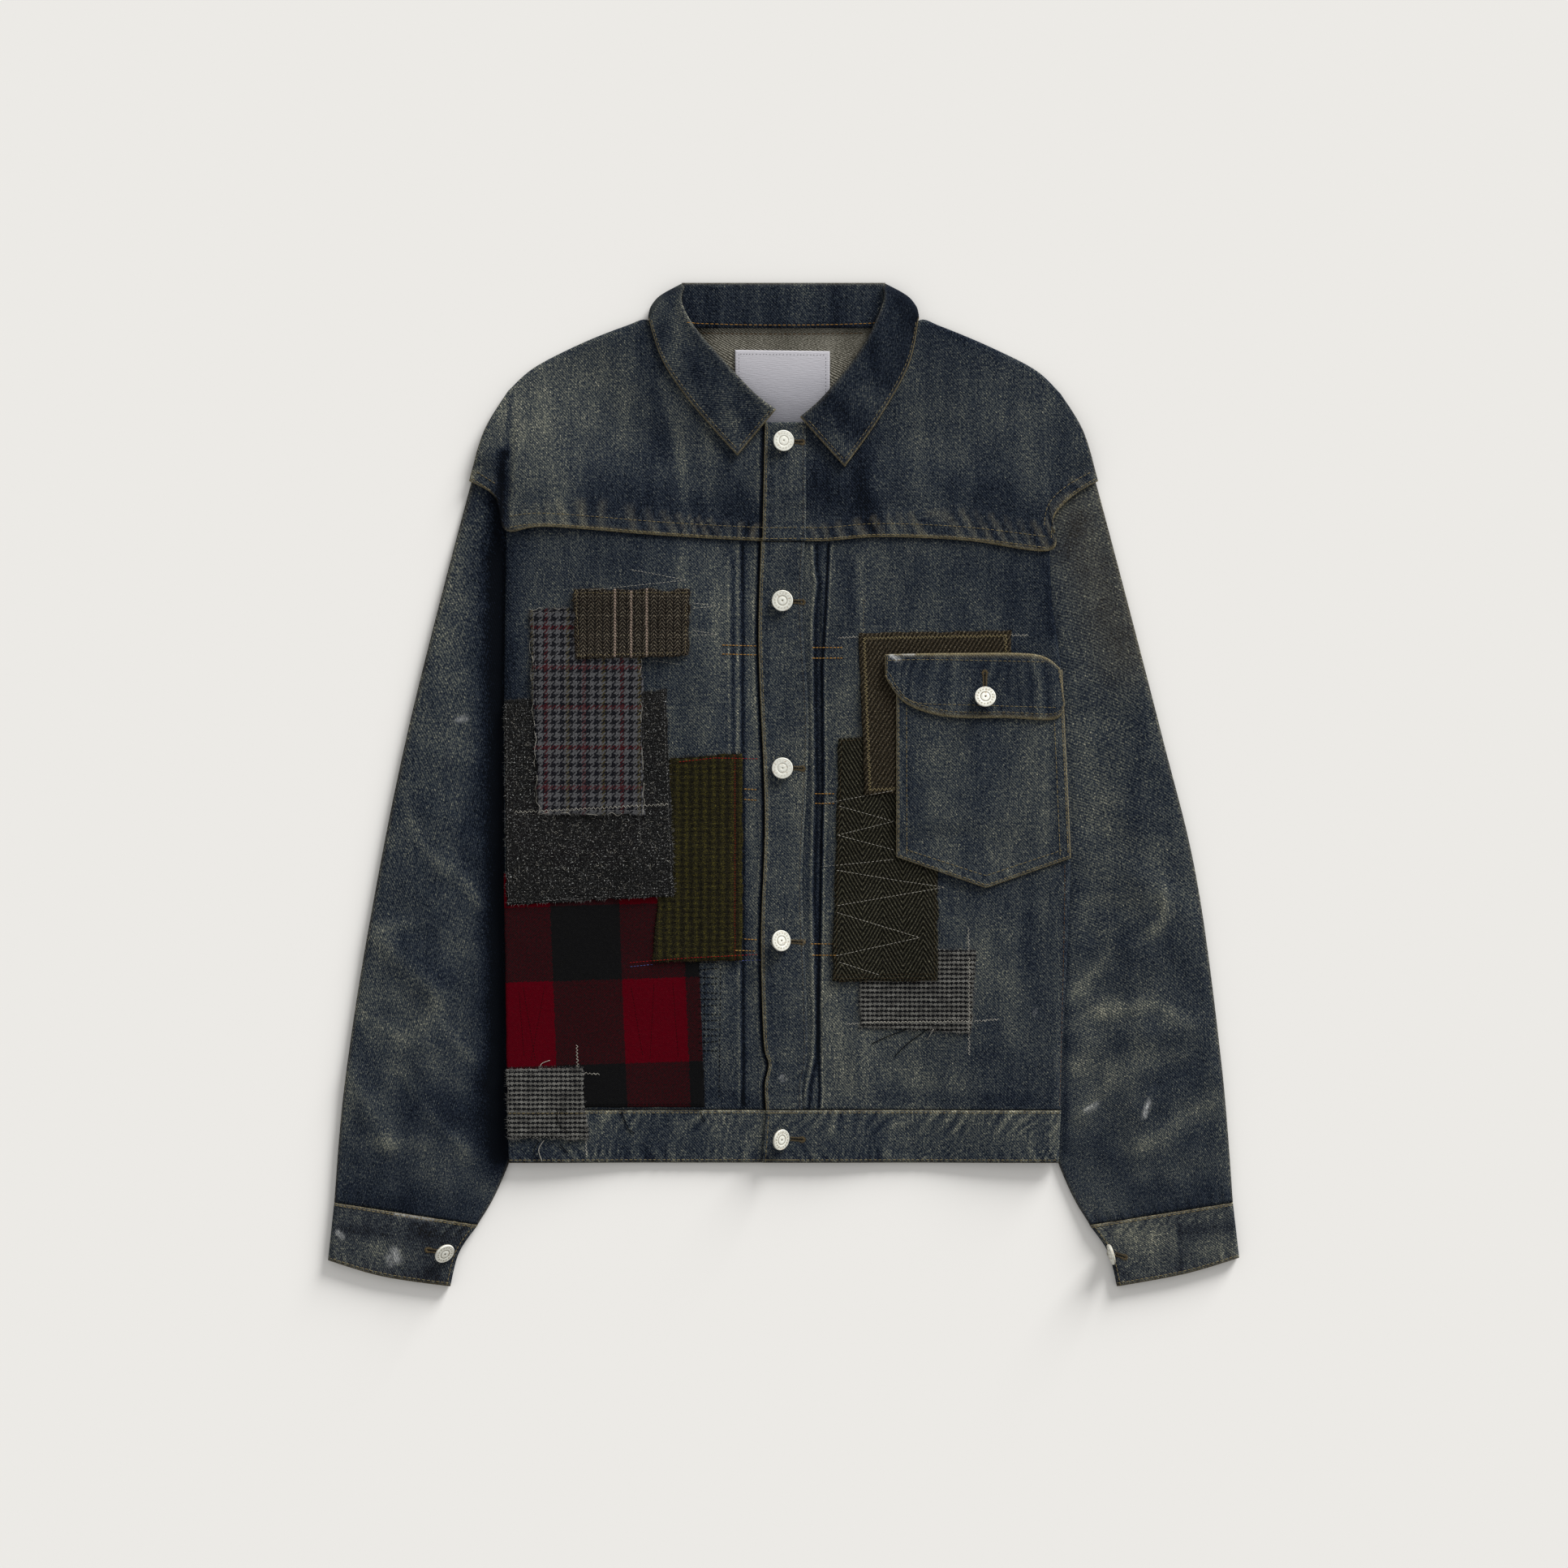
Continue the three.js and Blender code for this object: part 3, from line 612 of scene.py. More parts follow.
class Finish:
    """A material in the making."""

    def __init__(self, name):
        self.material = bpy.data.materials.new(name)
        self.material.use_nodes = True
        self.tree = self.material.node_tree
        self.tree.nodes.clear()

    def node(self, kind, settings, sockets, out=0):
        node = self.tree.nodes.new("ShaderNode" + kind)
        for key, value in settings.items():
            if key == "stops":
                while len(node.color_ramp.elements) < len(value):
                    node.color_ramp.elements.new(1.0)
                for element, (position, colour) in zip(node.color_ramp.elements, value):
                    element.position = position
                    element.color = colour
            else:
                setattr(node, key, value)
        for key, value in sockets.items():
            if isinstance(value, Value):
                self.tree.links.new(value.socket, node.inputs[key])
            else:
                node.inputs[key].default_value = value
        return Value(self, node.outputs[out]) if node.outputs else node

    def cut(self):
        """Distances across and along the cut, in millimetres."""
        return self.parts(self.node("UVMap", {"uv_map": "cut"}, {}))

    def place(self):
        """Distances on the table, in millimetres."""
        return self.parts(self.node("TexCoord", {}, {}, out="Object"))

    def parts(self, vector):
        outputs = self.node("SeparateXYZ", {}, {0: vector}).socket.node.outputs
        return [Value(self, outputs[i]) * (1 / MM) for i in range(2)]

    def wear(self):
        """Fade with painted shade and highlights, tan and white of the cloth, as laid down on its vertices."""
        vector = self.node("Attribute", {"attribute_name": "wear"}, {}, out="Vector")
        outputs = self.node("SeparateXYZ", {}, {0: vector}).socket.node.outputs
        return [Value(self, outputs[i]) for i in range(3)]

    def noise(self, x, y, detail=2.0, roughness=0.6, z=0.0):
        """Uneven values from about -1 to 1, one unit apart."""
        at = self.node("CombineXYZ", {}, {0: x, 1: y, 2: z})
        sockets = {"Vector": at, "Scale": 1.0, "Detail": detail, "Roughness": roughness}
        return (self.node("TexNoise", {"noise_dimensions": "3D"}, sockets) - 0.5) * 3.2

    def ramp(self, value, stops):
        return self.node("ValToRGB", {"stops": stops}, {0: value})

    def mix(self, share, first, second):
        return self.node("Mix", {"data_type": "RGBA"}, {0: share, 6: first, 7: second}, out=2)

    def close(self, colour, roughness, height=None, depth=0.0003, metallic=0.0, gloss=0.03):
        """The finished surface, with its relief as bump."""
        sockets = {
            "Base Color": colour, "Roughness": roughness, "Metallic": metallic, "Specular IOR Level": gloss,
        }
        if height is not None:
            sockets["Normal"] = self.node("Bump", {}, {"Height": height, "Distance": depth, "Strength": 1.0})
        surface = self.node("BsdfPrincipled", {}, sockets)
        self.node("OutputMaterial", {}, {"Surface": surface})
        return self.material


INDIGO = [
    (0.00, tint(9, 12, 17)),
    (0.22, tint(20, 26, 37)),
    (0.45, tint(43, 49, 56)),
    (0.66, tint(77, 80, 76)),
    (0.84, tint(114, 114, 101)),
    (1.00, tint(170, 166, 147)),
]
REVERSE = [
    (0.0, tint(30, 28, 24)),
    (0.35, tint(62, 60, 53)),
    (0.7, tint(104, 101, 91)),
    (1.0, tint(160, 156, 144)),
]


def denim(name, stops, lean=0.78, pitch=1.7, ribbed=0.09, shade=0.455):
    """Worn twill: diagonal ribs broken into specks, uneven yarn along the length, laid-down fades, painted shade."""
    f = Finish(name)
    across, along = f.cut()
    fade_and_shade, tan, white = f.wear()
    bend = f.noise(across / 6, along / 8, 0.0)
    rib = ((across * lean + along * 0.72) * (2 * math.pi / pitch) + bend * 1.3).sine()
    speckle = f.noise(across / 0.9, along / 1.25, 1.0, 0.7)
    grain = f.noise(across / 1.8, along / 2.5, 1.0, 0.65, 4.0)
    slub = f.noise(across / 1.6, along / 15, 0.0, 0.5, 9.0)
    weave = speckle * 0.34 + rib * ribbed + grain * 0.25
    tone = weave + slub * 0.05 + fade_and_shade * 0.42 + shade
    colour = f.ramp(tone.clamp(), stops)
    colour = f.mix((tan * (0.55 + speckle * 0.5)).clamp(), colour, tint(150, 136, 98))
    colour = f.mix((white * (0.6 + grain * 0.6)).clamp(), colour, tint(196, 197, 196))
    return f.close(colour, 0.92, rib * 0.4 + speckle * 0.6, 0.00012)


DENIM_FACE = denim("indigo_denim", INDIGO)
DENIM_BACK = denim("denim_reverse", REVERSE, 0.72, 2.4, 0.3, 0.56)


def threads_of(x, y, width):
    """Numbers of the threads across and along, and one where the warp thread is on top."""
    warp, weft = (x / width).floor(), (y / width).floor()
    on_top = ((warp - weft) % 4.0) < 1.5
    return warp, weft, on_top


def choose(on_top, first, second):
    return first * on_top + second * (1 - on_top)


def wool(name, colour_of, fuzz=0.5, stray=0.3):
    """Woven wool: colour_of(finish, x, y) gives the colour and the height of its threads."""
    f = Finish(name)
    x, y = f.place()
    bend_x = f.noise(x / 9, y / 9, 1.0) * 0.35 + f.noise(x / 1.1, y / 1.1, 1.0, 0.5, 11.0) * stray
    bend_y = f.noise(x / 9, y / 9, 1.0, 0.5, 7.0) * 0.35 + f.noise(x / 1.1, y / 1.1, 1.0, 0.5, 13.0) * stray
    colour, height = colour_of(f, x + bend_x, y + bend_y)
    hair = f.noise(x / 0.7, y / 0.9, 2.0, 0.7, 3.0)
    fluff = f.noise(x / 2.6, y / 3.1, 2.0, 0.6, 5.0)
    colour = f.mix((hair * 0.3 * fuzz + fluff * 0.1 * fuzz).clamp(), colour, tint(150, 146, 138))
    colour = f.mix((hair * -0.7 * fuzz).clamp(), colour, tint(5, 5, 6))
    return f.close(colour, 0.97, height * 0.5 + hair * 0.6 + fluff * 0.4, 0.00018)


def houndstooth_weave(f, x, y):
    warp, weft, on_top = threads_of(x, y, 0.86)
    dark = choose(on_top, (warp % 8.0) < 3.5, (weft % 8.0) < 3.5)
    light = f.mix((f.noise(x / 1.3, y / 1.3, 1.0, 0.6, 15.0) * 0.7 + 0.4).clamp(), tint(88, 88, 90), tint(44, 45, 48))
    colour = f.mix(dark, light, tint(15, 16, 22))
    red_row = ((y + 4.0) % 32.0) < 3.2
    red_column = ((x + 191.5) % 30.4) < 3.0
    olive_column = ((x + 174.0) % 28.6) < 2.6
    colour = f.mix(red_row * (1 - on_top) * 0.8, colour, tint(64, 14, 20))
    colour = f.mix(red_column * on_top * 0.75, colour, tint(60, 16, 21))
    colour = f.mix(olive_column * on_top * 0.65, colour, tint(64, 57, 28))
    return colour, on_top


def small_check_weave(f, x, y):
    warp, weft, on_top = threads_of(x, y, 0.93)
    dark = choose(on_top, (warp % 4.0) < 1.5, (weft % 4.0) < 1.5)
    drift = f.noise(x / 9, y / 7, 1.0, 0.5, 15.0)
    light = f.mix((drift * 0.5 + 0.45).clamp(), tint(112, 111, 106), tint(52, 51, 49))
    return f.mix(dark, light, tint(10, 11, 15)), on_top


def stripe_weave(f, x, y):
    column = abs((x + 132.0) % 6.3 - 3.15)
    rib = ((y + column * 1.3) * (2 * math.pi / 3.0)).sine()
    fleck = f.noise(x / 0.9, y / 0.9, 1.0, 0.6, 8.0)
    bar = ((y + 6.0) % 15.6) < 1.1
    shade = (rib * 0.36 + fleck * 0.4 + bar * 0.14 - (column > 2.5) * 0.24 + 0.26).clamp()
    colour = f.ramp(shade, [
        (0.0, tint(10, 8, 7)), (0.35, tint(33, 28, 23)), (0.65, tint(78, 71, 60)), (1.0, tint(148, 139, 120)),
    ])
    stripe = (x + 135.6).within(0.0, 1.6) + (x + 122.6).within(0.0, 1.6) + (x + 110.2).within(0.0, 1.6)
    twist = ((x * 0.5 + y) * (2 * math.pi / 2.2)).sine()
    return f.mix((stripe * (0.45 + twist * 0.35)).clamp(), colour, tint(152, 133, 120)), rib


def fibres(f, x, y, seed):
    """Thin hairs that wander over the cloth and break off."""
    wander = f.noise(x / 2.2, y / 2.2, 1.0, 0.5, seed)
    broken = f.noise(x / 1.5, y / 1.5, 0.0, 0.5, seed + 3.0)
    return (1 - abs(wander) * 5.0).clamp() * (broken * 1.6 + 0.5).clamp()


def charcoal_weave(f, x, y):
    knot = f.noise(x / 0.85, y / 0.95, 1.0, 0.8)
    hairs = fibres(f, x, y, 21.0) + fibres(f, x + 40, y, 47.0)
    colour = f.ramp((knot * 0.5 + hairs * 0.44 + 0.17).clamp(), [
        (0.0, tint(4, 4, 4)), (0.4, tint(23, 23, 24)), (0.65, tint(46, 47, 47)), (0.85, tint(104, 105, 104)),
        (1.0, tint(190, 190, 186)),
    ])
    return colour, knot


def olive_weave(f, x, y):
    fleck = f.noise(x / 0.8, y / 1.0, 1.0, 0.7, 8.0)
    columns, rows = (x * (2 * math.pi / 7.2)).sine(), (y * (2 * math.pi / 4.6)).sine()
    mottle = f.noise(x / 3.2, y / 4.0, 1.0, 0.6, 17.0)
    shade = (fleck * 0.5 + mottle * 0.14 + columns * 0.11 + rows * 0.07 + 0.37).clamp()
    colour = f.ramp(shade, [
        (0.0, tint(8, 7, 5)), (0.35, tint(25, 23, 15)), (0.65, tint(52, 48, 20)), (1.0, tint(98, 90, 34)),
    ])
    dash = ((y % 1.9) < 1.1) * (x + 39.6).within(0.0, 1.3)
    return f.mix(dash * 0.45, colour, tint(92, 22, 18)), fleck


def herringbone_weave(f, x, y):
    column = abs((x + 2.0) % 32.5 - 16.25)
    rib = ((y + column * 1.65) * (2 * math.pi / 5.0)).sine()
    fleck = f.noise(x / 0.8, y / 1.6, 2.0, 0.7, 8.0)
    colour = f.ramp((rib * 0.36 + fleck * 0.45 + 0.3).clamp(), [
        (0.0, tint(6, 6, 4)), (0.4, tint(22, 21, 15)), (0.7, tint(62, 60, 48)), (1.0, tint(120, 116, 98)),
    ])
    return colour, rib


def brown_twill_weave(f, x, y):
    rib = ((x * 0.78 - y * 0.5) * (2 * math.pi / 2.7)).sine()
    fleck = f.noise(x / 0.9, y / 1.2, 2.0, 0.75, 8.0)
    colour = f.ramp((rib * 0.22 + fleck * 0.55 + 0.36).clamp(), [
        (0.0, tint(10, 8, 5)), (0.4, tint(33, 28, 20)), (0.7, tint(74, 66, 52)), (1.0, tint(140, 131, 112)),
    ])
    return colour, rib


def red_plaid_weave(f, x, y):
    felted = f.noise(x / 1.6, y / 1.6, 1.0, 0.6, 31.0)
    lean = x + y * 0.04 + felted
    tilt = y - x * 0.03 + felted
    black_column = (lean.within(-190.7, -135.4) + (lean > -84.7)).clamp()
    black_row = (tilt.within(-152.0, -92.0) + (tilt < -219.5)).clamp()
    rib = ((x * 0.8 - y * 0.75) * (2 * math.pi / 1.5)).sine()
    mixed = abs(black_column - black_row)
    dark = black_column * 0.5 + black_row * 0.5 + mixed * (rib * 0.2 + felted * 0.25 + 0.27)
    nap = f.noise(x / 2.2, y / 3.0, 2.0, 0.6, 8.0)
    red = f.mix((nap * 0.25 + 0.3).clamp(), tint(80, 0, 12), tint(54, 0, 9))
    black = f.mix((nap * 0.25 + 0.3).clamp(), tint(17, 17, 18), tint(10, 10, 11))
    return f.mix(dark, red, black), rib


WOOLS = {
    "red_plaid": wool("red_plaid_wool", red_plaid_weave, 0.06, 0.2),
    "olive_check": wool("olive_check_wool", olive_weave, 0.15),
    "charcoal": wool("charcoal_wool", charcoal_weave, 0.3),
    "houndstooth": wool("houndstooth_wool", houndstooth_weave, 0.4),
    "brown_stripe": wool("brown_stripe_wool", stripe_weave, 0.4),
    "grey_check": wool("grey_check_wool", small_check_weave, 0.35),
    "herringbone": wool("herringbone_wool", herringbone_weave, 0.3),
    "brown_twill": wool("brown_twill_wool", brown_twill_weave, 0.3),
}


def label_satin():
    f = Finish("label_satin")
    x, y = f.place()
    rib = f.noise(x / 6, y / 0.55, 1.0)
    # Painted shade: the satin darkens towards its lower end, which slips under the fronts.
    shade = ((y - 286) / 60 + f.noise(x / 26, y / 26, 2.0) * 0.06).clamp()
    colour = f.ramp(shade, [(0.0, tint(106, 106, 112)), (0.45, tint(158, 157, 163)), (1.0, tint(184, 182, 187))])
    return f.close(colour, 0.62, rib, 0.00008, gloss=0.2)


def thread_finish(name, colour, dark):
    f = Finish(name)
    x, y = f.place()
    shade = f.noise(x / 4.1, y / 4.1, 2.0, 0.7)
    twist = ((x + y) * (2 * math.pi / 0.55)).sine()
    return f.close(f.mix((shade * 0.45 + 0.4).clamp(), colour, dark), 0.8, twist, 0.0001)


THREADS = {
    "tan": thread_finish("tan_thread", tint(150, 136, 100), tint(84, 76, 56)),
    "gold": thread_finish("gold_thread", tint(178, 134, 70), tint(104, 76, 40)),
    "rust": thread_finish("rust_thread", tint(112, 80, 48), tint(58, 41, 27)),
    "pale": thread_finish("pale_thread", tint(190, 186, 174), tint(124, 120, 112)),
    "red": thread_finish("red_thread", tint(158, 30, 32), tint(92, 18, 20)),
    "blue": thread_finish("blue_thread", tint(84, 94, 150), tint(44, 50, 84)),
    "black": thread_finish("black_thread", tint(14, 14, 16), tint(7, 7, 8)),
    "grey": thread_finish("grey_hair", tint(128, 127, 124), tint(62, 61, 60)),
    "brown": thread_finish("brown_thread", tint(74, 60, 42), tint(38, 30, 22)),
    "khaki": thread_finish("khaki_thread", tint(108, 94, 68), tint(54, 46, 34)),
}


def button_metal():
    """Pale matt metal, tarnished in its stamped hollows and spotted with rust."""
    f = Finish("stamped_metal")
    x, y = f.place()
    stain = f.noise(x / 3.0, y / 3.0, 3.0, 0.7)
    hollow, _, _ = f.wear()
    colour = f.ramp((0.86 + stain * 0.16 - hollow).clamp(), [
        (0.0, tint(44, 38, 30)), (0.4, tint(136, 130, 112)), (0.8, tint(214, 213, 202)), (1.0, tint(238, 238, 228)),
    ])
    rust = (f.noise(x / 2.2, y / 2.2, 1.0, 0.6, 29.0) * 3.0 - 1.1).clamp()
    return f.close(f.mix(rust * 0.5, colour, tint(150, 112, 74)), 0.5, stain, 0.00005, metallic=0.1, gloss=0.3)


LABEL_SATIN = label_satin()
BUTTON_METAL = button_metal()


# Denim pieces

def still(at):
    """The soft unevenness of cloth that lies flat."""
    return 0.28 * ripple(at.x / 38, at.y / 52, 11) + 0.14 * ripple(at.x / 15, at.y / 21, 12)


def denim_piece(name, plan, under, wall, wear_of, relief_of=None, cell=3.2, tall=1.0, close=None, rests_on=("back",)):
    """A panel of denim. wear_of gives its fade and painted shade, tan and white, and relief_of what its sewing raises.
    """
    bm, u, v = grid(spaced(plan.wide, cell, close), spaced(plan.long, cell * tall))
    at = Cloth(plan, u, v)
    z = under(at.x, at.y) + wall + still(at) + (relief_of(at) if relief_of else 0)
    z = np.maximum(z - rounded(at.edge(), 1.6, 0.7), wall - THIN)
    places = np.stack([at.x, at.y, z], -1)
    wear = np.stack(np.broadcast_arrays(*wear_of(at)), -1)
    piece = finish_cloth(name, bm, places, places[:, :2] * MM, wear, wall - THIN, [DENIM_FACE])
    declare(piece, name, plan, rests_on)


def drift(at, seed):
    """Long uneven fades along the warp."""
    long = ripple(at.x / 13, at.y / 130, seed) + 0.7 * ripple(at.x / 5, at.y / 60, seed + 1)
    broad = ripple(at.x / 55, at.y / 75, seed + 2) + 0.8 * ripple(at.x / 9, at.y / 12, seed + 3)
    return 0.14 * long + 0.16 * broad


def rim(edge, amount=0.5, reach=1.3):
    """Rubbing on an edge."""
    return amount * np.exp(-((edge / reach) ** 2))


YOKE_MARKS_RIGHT = [
    ([(640, 520), (740, 480)], 40, 0.24),
    ([(815, 470), (840, 560), (846, 640)], 5, 0.35), ([(870, 520), (872, 640)], 6, 0.25),
    ([(740, 610), (930, 640)], 20, -0.42), ([(800, 420), (815, 560)], 9, -0.35),
    # Painted shadow beside the right shoulder fold, and a painted highlight on the fold's edge.
    ([(629, 488), (625, 560)], 2.2, -0.6), ([(620, 560), (615, 650)], 5, -1.4), ([(634, 560), (631, 650)], 3, 0.15),
    ([(596, 480), (590, 570)], 8, 0.1), ([(900, 560), (925, 650)], 12, -0.3),
]
YOKE_MARKS_LEFT = [
    ([(1215, 480), (1275, 560)], 24, 0.08),
    ([(1080, 600), (1100, 650)], 7, 0.3), ([(1010, 600), (1070, 620)], 22, -0.4),
    ([(1060, 560), (1075, 640)], 10, -0.3), ([(1150, 400), (1240, 425)], 9, -0.35),
    ([(1290, 480), (1335, 570)], 12, 0.15), ([(1180, 600), (1280, 640)], 16, -0.2),
]
FRONT_MARKS_RIGHT = [
    ([(640, 680), (760, 690)], 24, -0.12), ([(866, 700), (878, 900)], 7, 0.08),
    ([(897, 690), (899, 930)], 1.0, 0.4), ([(903, 690), (904, 930)], 1.4, -0.45),
    ([(928, 690), (929, 1360)], 2.5, 0.12),
    # (915, 672)-(916, 1362) is painted shadow where the cloth steps down beside the pleat's fold.
    ([(909, 672), (909, 1000), (911, 1362)], 1.3, 0.5), ([(915, 672), (916, 1362)], 1.6, -1.1),
    ([(890, 1200), (895, 1355)], 8, 0.2),
    # (628, 680)-(624, 860) is painted shade along the body's left side, where it turns under.
    ([(790, 860), (850, 900)], 14, 0.12), ([(628, 680), (624, 860)], 11, -0.5),
    ([(880, 1345), (935, 1362)], 7, -0.3),
]
TUCK_EDGE = [
    (1001, 672), (1002, 703), (1005, 719), (1002, 741), (1000, 765), (1000, 815), (1002, 967), (999, 1096),
    (1003, 1270), (1001, 1306), (994, 1338), (992, 1364),
]
PLEAT_EDGE = [
    (1021, 672), (1017, 755), (1013, 823), (1014, 967), (1011, 1092), (1008, 1270), (1010, 1342), (1009, 1364),
]


def aside(pixels, columns):
    """A line moved to the right."""
    return [(column + columns, row) for column, row in pixels]


FRONT_MARKS_LEFT = [
    # The dark lines five columns right of the tuck's edge and along the pleat's edge are painted shadow beside the
    # folds.
    (TUCK_EDGE, 1.3, 0.55), (aside(TUCK_EDGE, 5), 1.8, -1.0), (PLEAT_EDGE, 1.1, -1.5), (aside(PLEAT_EDGE, 4), 1.0, 0.5),
    ([(1060, 690), (1062, 790)], 3.5, 0.3),
    ([(1046, 700), (1050, 780)], 8, -0.25), ([(1090, 700), (1110, 770)], 16, 0.12),
    ([(1200, 690), (1280, 760)], 26, -0.12), ([(1030, 1220), (1040, 1340)], 8, 0.3),
    ([(1080, 1290), (1140, 1345)], 22, 0.2), ([(1220, 1290), (1280, 1340)], 22, -0.15),
    ([(1180, 1110), (1220, 1200)], 14, 0.15), ([(1302, 1110), (1304, 1360)], 3, 0.25),
    ([(1290, 700), (1296, 780)], 5, -0.3), ([(1090, 1350), (1290, 1358)], 6, -0.25),
    ([(1240, 1210), (1262, 1290)], 14, 0.12),
]
SLEEVE_MARKS_RIGHT = [
    ([(559, 1070), (591, 1116)], 5, 0.42), ([(467, 1143), (504, 1139)], 5, 0.3),
    ([(467, 1157), (490, 1185), (531, 1217), (541, 1240)], 7, 0.28),
    ([(536, 1240), (499, 1281), (486, 1313)], 9, 0.2), ([(426, 1327), (453, 1364), (479, 1410)], 7, 0.28),
    ([(559, 1407), (577, 1428)], 7, 0.22), ([(485, 1033), (499, 1006)], 7, 0.2),
    ([(432, 1222), (464, 1291)], 6, 0.2), ([(500, 1190), (590, 1240)], 16, -0.2),
    ([(426, 1235), (463, 1263), (490, 1276)], 6, 0.22), ([(531, 1313), (573, 1345)], 7, 0.18),
    ([(540, 700), (520, 900)], 26, 0.1), ([(575, 640), (560, 800)], 14, 0.05),
    ([(496, 969), (510, 1029), (551, 1080)], 4, 0.3), ([(496, 1319), (533, 1379), (575, 1416)], 5, 0.26),
    ([(459, 1406), (520, 1412)], 6, 0.14), ([(542, 1259), (570, 1296), (584, 1305)], 5, 0.26),
    ([(510, 1000), (520, 1190)], 26, -0.12), ([(472, 1111), (531, 1185)], 15, -0.2),
    ([(518, 1359), (600, 1396)], 20, -0.42), ([(435, 1465), (582, 1490)], 12, -0.4),
    # (604, 690)-(606, 1340), (615, 610)-(616, 1420) and (600, 1340)-(612, 1440) are painted shadow cast by the body's
    # edge on the sleeve.
    ([(590, 960), (575, 1060)], 14, -0.3), ([(604, 690), (606, 1340)], 13, -0.55),
    ([(615, 610), (616, 1420)], 9, -1.3), ([(600, 1340), (612, 1440)], 14, -0.5),
    ([(430, 1420), (500, 1450)], 12, -0.2),
]
SLEEVE_MARKS_LEFT = [
    ([(1433, 1097), (1437, 1130), (1419, 1148)], 5, 0.5), ([(1364, 1148), (1410, 1116)], 7, 0.22),
    ([(1359, 1249), (1419, 1235), (1465, 1263)], 6.5, 0.38), ([(1318, 1235), (1350, 1194), (1369, 1166)], 6, 0.24),
    ([(1401, 1419), (1447, 1387), (1493, 1354)], 8, 0.32), ([(1323, 1313), (1350, 1286)], 8, 0.28),
    ([(1373, 1313), (1424, 1290)], 8, 0.16), ([(1345, 700), (1390, 900)], 30, -0.08),
    ([(1340, 900), (1360, 1000)], 22, 0.16), ([(1364, 1180), (1385, 1170)], 16, -0.3),
    ([(1350, 1405), (1373, 1442)], 16, -0.28), ([(1440, 1160), (1470, 1220)], 18, -0.2),
    ([(1430, 1330), (1470, 1320)], 16, -0.16), ([(1330, 640), (1312, 680)], 9, -0.4),
    ([(1400, 1470), (1500, 1465)], 10, -0.25), ([(1420, 980), (1450, 1060)], 20, -0.14),
    ([(1316, 1100), (1312, 1420)], 3, -0.35), ([(1337, 1108), (1412, 1104)], 7, 0.18),
    ([(1303, 1233), (1378, 1175), (1428, 1150)], 6, 0.2), ([(1312, 1267), (1378, 1233)], 6, 0.18),
    ([(1328, 1375), (1378, 1325), (1453, 1300)], 7, 0.22), ([(1328, 1292), (1378, 1288)], 9, -0.2),
]
SLEEVE_TAN_LEFT = [([(1330, 640), (1385, 800)], 28, 0.12)]
WHITE_FLECKS = [
    ([(563, 887), (574, 885)], 1.6, 0.6), ([(1410, 1374), (1415, 1358)], 1.6, 0.8),
    ([(1338, 1368), (1352, 1361)], 1.5, 0.5),
    ([(1276, 1246), (1277, 1252)], 0.8, 0.7),
]
SPLASHES = [
    ([(1098, 808), (1107, 813)], 1.5, 1.0), ([(1112, 806), (1126, 807)], 1.0, 0.6),
    ([(486, 1541), (490, 1552)], 2.8, 0.55), ([(478, 1548), (482, 1558)], 2.0, 0.35),
    ([(487, 1496), (532, 1503)], 1.2, 0.5), ([(416, 1518), (422, 1524)], 1.8, 0.5),
    ([(1000, 1345), (1004, 1338)], 1.2, 0.6), ([(962, 1326), (966, 1330)], 1.2, 0.5),
]


PLACKET_TOP_EDGE = np.array([PLACKET_TOP[0], PLACKET_TOP[3]], float)


def placket_shade(at, edge):
    """Painted shadow in the gap beside the placket's free edge, and the pale fold next to it."""
    beside = np.interp(at.y, edge[:, 1], edge[:, 0]) - at.x
    return 0.3 * np.exp(-(((beside - 4.0) / 1.2) ** 2)) - 2.0 * np.exp(-((beside / 2.0) ** 2))


def yoke_right_wear_and_shade(at):
    band = roping(at.left, at.low, 13, 31)
    fade_and_shade = strokes(at.x, at.y, YOKE_MARKS_RIGHT) + drift(at, 40) + 0.36 * band + placket_shade(at, PLACKET_TOP_EDGE)
    # Painted shade of the shoulder fold: no pale rubbing on the armhole edge where it falls.
    armhole_shade = np.exp(-(((at.x + 227) / 7) ** 2))
    rubbed = rim(at.low, 0.75, 1.0) + rim(at.left, 0.2) + 0.2 * np.maximum(0, band)
    return fade_and_shade, (1 - armhole_shade) * rubbed, 0


def yoke_left_wear(at):
    band = roping(at.left, at.low, 13, 33)
    fade_and_shade = strokes(at.x, at.y, YOKE_MARKS_LEFT) + drift(at, 44) + 0.36 * band - 0.2
    return fade_and_shade, rim(at.low, 0.75, 1.0) + rim(at.right, 0.2) + 0.2 * np.maximum(0, band), 0


YOKE_TIP = (250, 245)


def yoke_relief(at):
    """Puckers and a raised seam allowance along the low edge. The tips come down on the sleeves."""
    side_roll = rounded(np.minimum(at.high, at.edge("left right")), 5, 1.2)
    tip = np.hypot(np.abs(at.x) - YOKE_TIP[0], at.y - YOKE_TIP[1])
    drop = 3.2 * (1 - smooth(tip, 4, 60)) * (1 - smooth(at.low, 8, 28))
    return 0.3 * roping(at.left, at.low, 13, 31) - side_roll + 0.5 * (1 - smooth(at.low, 10, 14)) - drop


def yoke_shadow(at):
    """Painted shadow of the yoke's edge on the cloth just below it."""
    return 0.35 * (1 - smooth(at.high - YOKE_LAP, 0, 5))


def front_right_wear_and_shade(at):
    fade_and_shade = strokes(at.x, at.y, FRONT_MARKS_RIGHT) + drift(at, 50) - yoke_shadow(at)
    fade_and_shade = fade_and_shade + placket_shade(at, PLACKET.left[0]) - 0.06
    return fade_and_shade, 0, strokes(at.x, at.y, WHITE_FLECKS)


